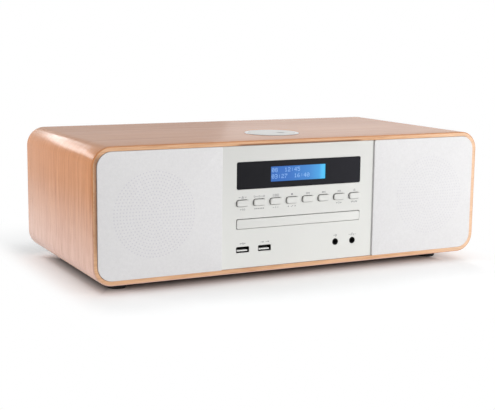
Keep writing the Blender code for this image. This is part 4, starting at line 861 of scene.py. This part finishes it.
def rubber_feet(rubber):
    """Four turned feet with a soft lower edge and a shallow ring in the sole."""
    for row in ("front", "rear"):
        for side in ("left", "right"):
            node = f"{row}_{side}_foot"
            low, high = extent(node)
            x, y, _ = (low + high) / 2
            radius = (high[0] - low[0]) / 2
            hollow = low[2] + 0.4
            profile = [(0, hollow), (radius - 4.2, hollow), (radius - 3.6, low[2])]
            profile += [(radius - inset, low[2] + back) for inset, back in quarter(1.2, 5)]
            profile += [(radius, high[2]), (0, high[2])]
            pad = lathe(profile, x, y, 48)
            piece(f"{row}_{side}_pad", [pad], [rubber], "cabinet", [node])


def rear_pieces(steel, chrome):
    """Screw heads with a cross recess sunk into a dome, and the turned aerial socket."""
    steps, head_radius, shank_radius, head_tall = 72, 3.0, 1.5, 2.0
    angle = np.arange(steps) * 2 * math.pi / steps
    for number in range(1, 5):
        node = f"rear_screw_{number}"
        low, high = extent(node)
        x, _, z = (low + high) / 2
        tip, under = high[1], high[1] - head_tall
        reach = np.concatenate([np.linspace(0.03, 2.6, 26), [2.85, head_radius]])
        across = reach[:, None] * np.cos(angle)
        aside = reach[:, None] * np.sin(angle)
        arm = np.clip(2.2 - 5.0 * np.minimum(np.abs(across), np.abs(aside)), 0, 1)
        depth = 0.9 * arm * np.clip((1.75 - reach[:, None]) / 0.35, 0, 1)
        dome = tip - 0.75 * (reach[:, None] / head_radius) ** 2 - depth
        head = np.stack([across + x, dome, aside + z], -1)
        shank = [(head_radius, under), (shank_radius, under), (shank_radius, low[1] + 1.5), (0.3, low[1])]
        screw = loft(np.concatenate([head, spun_loops(shank, x, z, steps, True)]))
        piece(f"{node}_head", [screw], [steel], "cabinet", [node], 40)
    low, high = extent("aerial_socket")
    x, _, z = (low + high) / 2
    tip = high[1]
    seat = extent("rear_panel")[1][1] + 0.2
    section = [(0, tip - 1.5), (0.7, tip - 1.5), (1.0, tip - 1.9), (1.0, seat - 3.2), (3.6, seat - 3.2)]
    section += [(3.6, tip - 0.3), (3.8, tip), (4.5, tip), (4.8, tip - 0.3), (4.8, tip - 1.6), (4.4, tip - 1.9)]
    section += [(4.4, tip - 2.4), (4.8, tip - 2.7), (4.8, seat + 1.6), (5.1, seat + 1.3), (8.2, seat + 1.3)]
    section += [(8.5, seat + 1.0), (8.5, seat), (6.0, seat), (6.0, low[1]), (0, low[1])]
    socket = lathe(section, x, z, 64, True)
    piece("aerial_plug", [socket], [chrome], "cabinet", ["aerial_socket"])


def stroke(points, width):
    """Outline of a line of even width: the points moved half the width to each side, along the mean of their
    normals."""
    points = np.asarray(points, float)
    run = np.gradient(points, axis=0)
    run /= np.linalg.norm(run, axis=1, keepdims=True)
    side = np.column_stack([-run[:, 1], run[:, 0]]) * width / 2
    return np.vstack([points + side, (points - side)[::-1]])


def bow(x, z, radius, start, stop, width, steps=20):
    """Stroke along an arc, in degrees."""
    angle = np.radians(np.linspace(start, stop, steps))
    return stroke(np.column_stack([x + radius * np.cos(angle), z + radius * np.sin(angle)]), width)


def bar(x, z, width, height):
    """Small upright rectangle."""
    half = np.array([[-1, -1], [1, -1], [1, 1], [-1, 1]]) / 2
    return np.array([x, z]) + half * np.array([width, height])


def wedge(x, z, width, height):
    """Triangle pointing along x, or against it where the width is negative."""
    return np.array([[x - width / 2, z - height / 2], [x + width / 2, z], [x - width / 2, z + height / 2]])


def ring(x, z, radius):
    """Small printed ring."""
    return bow(x, z, radius, 0, 360, 0.34, 24)


def panel_marks(ink):
    """Plain printed signs beside the keys and sockets, each a thin plate on the panel."""
    places = [centre(f"{name}_button") for name in BUTTONS]
    tall, arrow = 1.8, 1.6
    x = [place[0] for place in places]
    high = places[0][2] + 5.6
    low = places[0][2] - 6.0
    signs = [np.array([[x[0] - 1.2, high - 0.2], [x[0] + 1.2, high - 0.2], [x[0], high + 1.1]])]
    signs += [bar(x[0], high - 0.8, 2.4, 0.5)]
    signs += [bar(x[0] + shift, high, 2.0, 0.45) for shift in (-3.2, 3.2)]
    signs += [ring(x[1] + shift, high, 0.75) for shift in (-5.0, 0.0, 5.0)]
    signs += [bar(x[1] + shift, high, 2.4, 0.4) for shift in (-2.5, 2.5)]
    signs += [bar(x[2] + 1.0, high + shift, 5.0, 0.4) for shift in (-0.9, 0, 0.9)]
    signs += [bar(x[2] - 2.8, high + shift, 0.8, 0.5) for shift in (-0.9, 0, 0.9)]
    signs += [bar(x[3], high, 1.9, 1.9)]
    signs += [bar(x[4] - 1.7, high, 0.5, tall)]
    signs += [wedge(x[4] + shift, high, -arrow, tall) for shift in (-0.6, 1.0)]
    signs += [wedge(x[5] + shift, high, arrow, tall) for shift in (-1.0, 0.6)]
    signs += [bar(x[5] + 1.7, high, 0.5, tall), wedge(x[6] - 0.7, high, 1.7, tall)]
    signs += [bar(x[6] + shift, high, 0.45, tall) for shift in (0.7, 1.5)]
    signs += [bow(x[7], high - 0.1, 0.9, 125, 415, 0.36), bar(x[7], high + 0.75, 0.36, 1.1)]
    signs += [bar(x[0] - 1.8, low, 1.4, 0.36), bar(x[0] - 1.8, low, 0.36, 1.4)]
    signs += [bar(x[0], low, 0.4, tall), ring(x[0] + 1.8, low, 0.75)]
    signs += [bar(x[1] + shift, low, 1.1, 1.1) for shift in (-4.5, -2.7, -0.9, 0.9, 2.7, 4.5)]
    signs += [bar(x[2], low - 0.3, 0.45, 1.2), bar(x[2], low + 0.8, 0.45, 0.45)]
    signs += [bar(x[2] + shift, low, 1.8, 0.4) for shift in (-2.2, 2.2)]
    signs += [stroke([(x[3] - 1.3, low), (x[3] - 0.4, low - 0.8), (x[3] + 1.4, low + 0.8)], 0.4)]
    signs += [wedge(x[3] - 4.0, low, -1.6, 1.6), wedge(x[3] + 4.0, low, 1.6, 1.6)]
    signs += [ring(x[6], low, 0.8), wedge(x[6] - 2.6, low, -1.5, 1.5), wedge(x[6] + 2.6, low, 1.5, 1.5)]
    rises = (0, 0.2, -0.2, 0.2, 0)
    signs += [bar(x[7] + 1.5 * step, low + rise, 0.8, 1.4) for step, rise in zip(range(-2, 3), rises)]
    sockets = ("left_usb_socket", "right_usb_socket", "aux_jack", "headphone_jack")
    left, right, aux, phones = [centre(name)[0] for name in sockets]
    mark = extent("left_usb_socket")[1][2] + 3.3
    signs += [bar(left, mark, 4.2, 0.4), wedge(left + 2.6, mark, 1.2, 1.4), ring(left - 2.5, mark, 0.45)]
    signs += [bar(left, mark + 0.7, 1.6, 0.36), bar(left + 0.6, mark - 0.7, 1.6, 0.36)]
    signs += [wedge(right - 1.4, mark, 1.5, 1.6), bar(right - 3.2, mark, 2.4, 0.4)]
    signs += [wedge(right + 4.4, mark, 1.5, 1.6), bar(right + 2.4, mark, 2.6, 0.4)]
    signs += [bow(aux + 0.5, mark, 1.0, -120, 120, 0.38), wedge(aux + 0.3, mark, 1.3, 1.3)]
    signs += [bar(aux - 1.2, mark, 2.0, 0.4), bow(phones, mark - 0.4, 1.3, 0, 180, 0.38)]
    signs += [bar(phones + shift, mark - 0.75, 0.8, 1.2) for shift in (-1.25, 1.25)]
    signs += [bar(phones + shift, mark - 0.3, 1.6, 0.4) for shift in (-3.4, 3.4)]
    face = extent("front_panel")[0][1]
    blocks = [prism(sign, face - 0.05, face - 0.01) for sign in signs]
    piece("panel_marks", blocks, [ink], "cabinet", ())


# Room

def seen_plainly(finish):
    """1 for the camera, mirrors and glass, and 0 for light that bounces."""
    path = finish.node("ShaderNodeLightPath")
    return path.math("MAXIMUM", path.of("Is Glossy Ray")).math("MAXIMUM", path.of("Is Transmission Ray"))


def studio():
    """Pale floor, a plain world and four soft lamps. A painted shadow darkens the floor's own colour under the
    cabinet.
    The camera, mirrors and glass see painted light lift the floor more the further it lies from the cabinet, white
    further off and just past its left side, and the world as white."""
    scene = bpy.context.scene
    scene.view_settings.view_transform = "Standard"
    floor_radius = 30.0
    rim = circle_line(0, 0, floor_radius)
    mesh = bpy.data.meshes.new("floor")
    mesh.from_pydata(np.column_stack([rim, np.zeros(len(rim))]).tolist(), [], [list(range(len(rim)))])
    floor = bpy.data.objects.new("floor", mesh)
    scene.collection.objects.link(floor)
    paper = Finish("floor_paper", Roughness=0.95, Specular_IOR_Level=0.0, Emission_Strength=1.0)
    drift = paper.noise(paper.place(), 3.0, 2.0)
    seen = seen_plainly(paper)
    x, y, _ = paper.split(paper.place())
    right_reach, left_reach, half_depth = 0.175, 0.199, 0.09
    aside = (3 * (x - right_reach)).math("MAXIMUM", -1.6 * (x + left_reach))
    ahead = abs(y) - half_depth
    outer_x = aside.math("MAXIMUM", 0.0)
    outer_y = ahead.math("MAXIMUM", 0.0)
    away = (outer_x * outer_x + outer_y * outer_y).math("SQRT")
    away = away + aside.math("MAXIMUM", ahead).math("MINIMUM", 0.0)
    sheet_colour = paper.tint(drift, (0.91, 0.91, 0.91), (0.93, 0.93, 0.93))
    # Painted light seen by the camera, mirrors and glass: it rises in two steps away from the cabinet, which makes
    # its shadow fade fast.
    painted_floor_light = 0.20 * away.step(-0.008, 0.010) + 0.14 * away.step(0.03, 0.10)
    paper.feed(
        # Painted shadow: the floor's own colour turns dark brown under the cabinet.
        Base_Color=paper.tint(1 - away.step(-0.034, 0.0), sheet_colour, (0.050, 0.037, 0.032)),
        Emission_Color=paper.tint(seen * painted_floor_light, (0.0, 0.0, 0.0), (0.97, 0.99, 1.0)),
    )
    white = paper.node("ShaderNodeEmission", {}, {"Strength": 1.0})
    # Plain white further off; painted light also turns the floor white just past the cabinet's left side, which
    # cuts its shadow short.
    clear = away.step(0.05, 0.22).math("MAXIMUM", (-1 * x).step(0.203, 0.241))
    sheet = {"Fac": seen * clear, 1: Signal(paper, paper.shader.outputs[0]), 2: white}
    surface = paper.tree.nodes["Material Output"].inputs["Surface"]
    paper.put(surface, paper.node("ShaderNodeMixShader", {}, sheet))
    mesh.materials.append(paper.material)

    world = bpy.data.worlds.new("room")
    scene.world = world
    world.use_nodes = True
    backdrop = world.node_tree.nodes["Background"]
    backdrop.inputs["Color"].default_value = (1, 1, 1, 1)
    sky = Finish.over(world.node_tree)
    sky.put(backdrop.inputs["Strength"], 0.48 + 0.52 * seen_plainly(sky))

    lamp("key_lamp", (1.00, -1.25, 0.38), (0.0, -0.10, 0.06), (0.9, 0.6), 17.2, False)
    lamp("left_lamp", (-1.60, 0.45, 0.32), (-0.20, 0.0, 0.06), (0.8, 0.5), 11.3, False)
    lamp("rear_lamp", (-0.51, 1.80, 0.66), (-0.20, 0.0, 0.12), (1.1, 0.22), 4.4)
    lamp("right_lamp", (2.00, 2.20, 0.60), (0.15, 0.0, 0.12), (1.8, 0.9), 2.5)


def posed(across, upward, back, spot):
    """Placing of a lamp or camera at a spot, with its own x, y and z along three unit vectors."""
    turn = np.column_stack([across, upward, back])
    return Matrix(np.block([[turn, np.array(spot)[:, None]], [np.zeros(3), 1]]))


def lamp(name, spot, aim, size, power, mirrored=True):
    """Rectangular soft lamp at a spot, turned to face an aim, and seen in mirrors or kept out of them."""
    data = bpy.data.lights.new(name, "AREA")
    data.shape = "RECTANGLE"
    data.size, data.size_y = size
    data.energy = power
    made = bpy.data.objects.new(name, data)
    bpy.context.scene.collection.objects.link(made)
    made.visible_camera = False
    made.visible_glossy = mirrored
    away = np.array(spot) - np.array(aim)
    away /= np.linalg.norm(away)
    across = np.cross((0, 0, 1), away)
    across /= np.linalg.norm(across)
    made.matrix_world = posed(across, np.cross(away, across), away, spot)


def photo_camera():
    """Camera of the photograph: its bearing, pitch, roll and distance from the aim. The focal length and the
    photo's width are in pixels."""
    azimuth, pitch, roll = np.radians([27.29, 9.296, 0.680])
    focal, photo_width, sensor = 1086.05, 495.0, 36.0
    distance = 1019.5
    aim = np.array([-57.2, 0.0, 65.03])
    level = math.cos(pitch)
    forward = np.array([math.sin(azimuth) * level, math.cos(azimuth) * level, -math.sin(pitch)])
    right = np.cross(forward, (0, 0, 1))
    right /= np.linalg.norm(right)
    upward = np.cross(right, forward)
    turned = math.cos(roll) * right + math.sin(roll) * upward
    raised = math.cos(roll) * upward - math.sin(roll) * right
    spot = worldly(aim - distance * forward)
    data = bpy.data.cameras.new("camera")
    data.sensor_fit = "HORIZONTAL"
    data.sensor_width = sensor
    data.lens = focal * sensor / photo_width
    data.clip_start = 0.01
    camera = bpy.data.objects.new("camera", data)
    bpy.context.scene.collection.objects.link(camera)
    camera.matrix_world = posed(turned, raised, -forward, spot)
    bpy.context.scene.camera = camera


def clad(finish, *nodes):
    """Gives CAD nodes that stay in view their finish."""
    for name in nodes:
        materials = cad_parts[name].data.materials
        if len(materials):
            materials[0] = finish
        else:
            materials.append(finish)


def dress():
    """Every piece and every CAD node with its finish."""
    middle = centre("right_basket")
    dial_low, dial_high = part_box("volume_dial")
    dial_middle = (dial_low + dial_high) / 2
    window_low, window_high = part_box("display_window")
    screen_low, screen_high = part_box("lcd_module")

    veneer = cherry_veneer()
    shell_high = extent("cabinet_shell")[1]
    edge = veneer_edge(shell_high[0], shell_high[2])
    cloth = grille_cloth(middle[0], middle[2] + ORIGIN[2] / MM)
    paint = panel_paint(*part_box("front_panel"))
    gloss = black_gloss(window_low[0], window_high[0])
    glow = screen_glow(screen_low[0] + SCREEN_BORDER * MM, screen_high[0] - SCREEN_BORDER * MM)
    dots = screen_dots()
    silver = spun_silver("dial_silver", (0.44, 0.44, 0.43), dial_middle)
    bezel_silver = spun_silver("bezel_silver", (0.58, 0.58, 0.57), dial_middle)
    dark = moulded("dark_plastic", (0.016, 0.016, 0.017), 0.42)
    black = moulded("socket_black", (0.005, 0.005, 0.005), 0.55, Specular_IOR_Level=0.12)
    black_tray = moulded("tray_plastic", (0.022, 0.022, 0.024), 0.36, 1400.0, 0.08)
    white = moulded("white_plastic", (0.84, 0.84, 0.82), 0.40)
    rubber = moulded("black_rubber", (0.014, 0.014, 0.014), 0.78, 1500.0, 0.18)
    ink = moulded("panel_ink", (0.270, 0.270, 0.280), 0.55, 2400.0, 0.03)
    paper_tones = (0.030, 0.029, 0.028), (0.080, 0.077, 0.073)
    paper = pressed_fibre("cone_paper", 600.0, 0.8, *paper_tones, 0.15, 0.35, 0.0003)
    board_tones = (0.230, 0.140, 0.075), (0.380, 0.250, 0.145)
    board = pressed_fibre("fibreboard", 900.0, 1.0, *board_tones, 0.12, 0.30, 0.0002)
    green = laminate()
    steel = brushed("bright_steel", (0.66, 0.66, 0.66), 0.30, 0)
    grey = brushed("grey_steel", (0.36, 0.36, 0.37), 0.42, 1)
    tin = brushed("tinned_steel", (0.70, 0.70, 0.70), 0.26, 1)
    gold = brushed("contact_gold", (0.85, 0.62, 0.25), 0.25, 1)
    chrome = brushed("socket_chrome", (0.74, 0.74, 0.73), 0.20, 1)
    iron = moulded("transformer_iron", (0.055, 0.055, 0.060), 0.52, 700.0, 0.2, 0.2)

    cabinet_wrap(veneer, edge)
    cloth_grilles(cloth)
    push_buttons(paint, dark)
    drawer_front(paint)
    lit_display(glow, dots, dark)
    front_sockets(tin, black, white, gold)
    dial_pieces(silver, bezel_silver)
    rubber_feet(rubber)
    rear_pieces(steel, chrome)
    panel_marks(ink)

    clad(paint, "front_panel")
    clad(gloss, "display_window")
    clad(board, "front_baffle")
    clad(dark, "rear_panel", "loader_chassis", "left_basket", "right_basket")
    clad(dark, "spindle_hub", "pickup_sled", "mains_inlet")
    clad(black_tray, "disc_tray")
    clad(green, "display_board", "socket_board", "main_board")
    clad(steel, "rotary_encoder", "guide_rod", "spindle_motor", "loading_motor", "heat_sink")
    clad(grey, "lift_deck", "clamp_bridge", "left_magnet", "right_magnet")
    clad(iron, "power_transformer")
    clad(paper, "left_cone", "right_cone")
    clad(rubber, "left_surround", "right_surround", "drive_belt")
    clad(white, "disc_clamp", "tray_drive_wheel", "motor_pulley")


dress()
studio()
photo_camera()
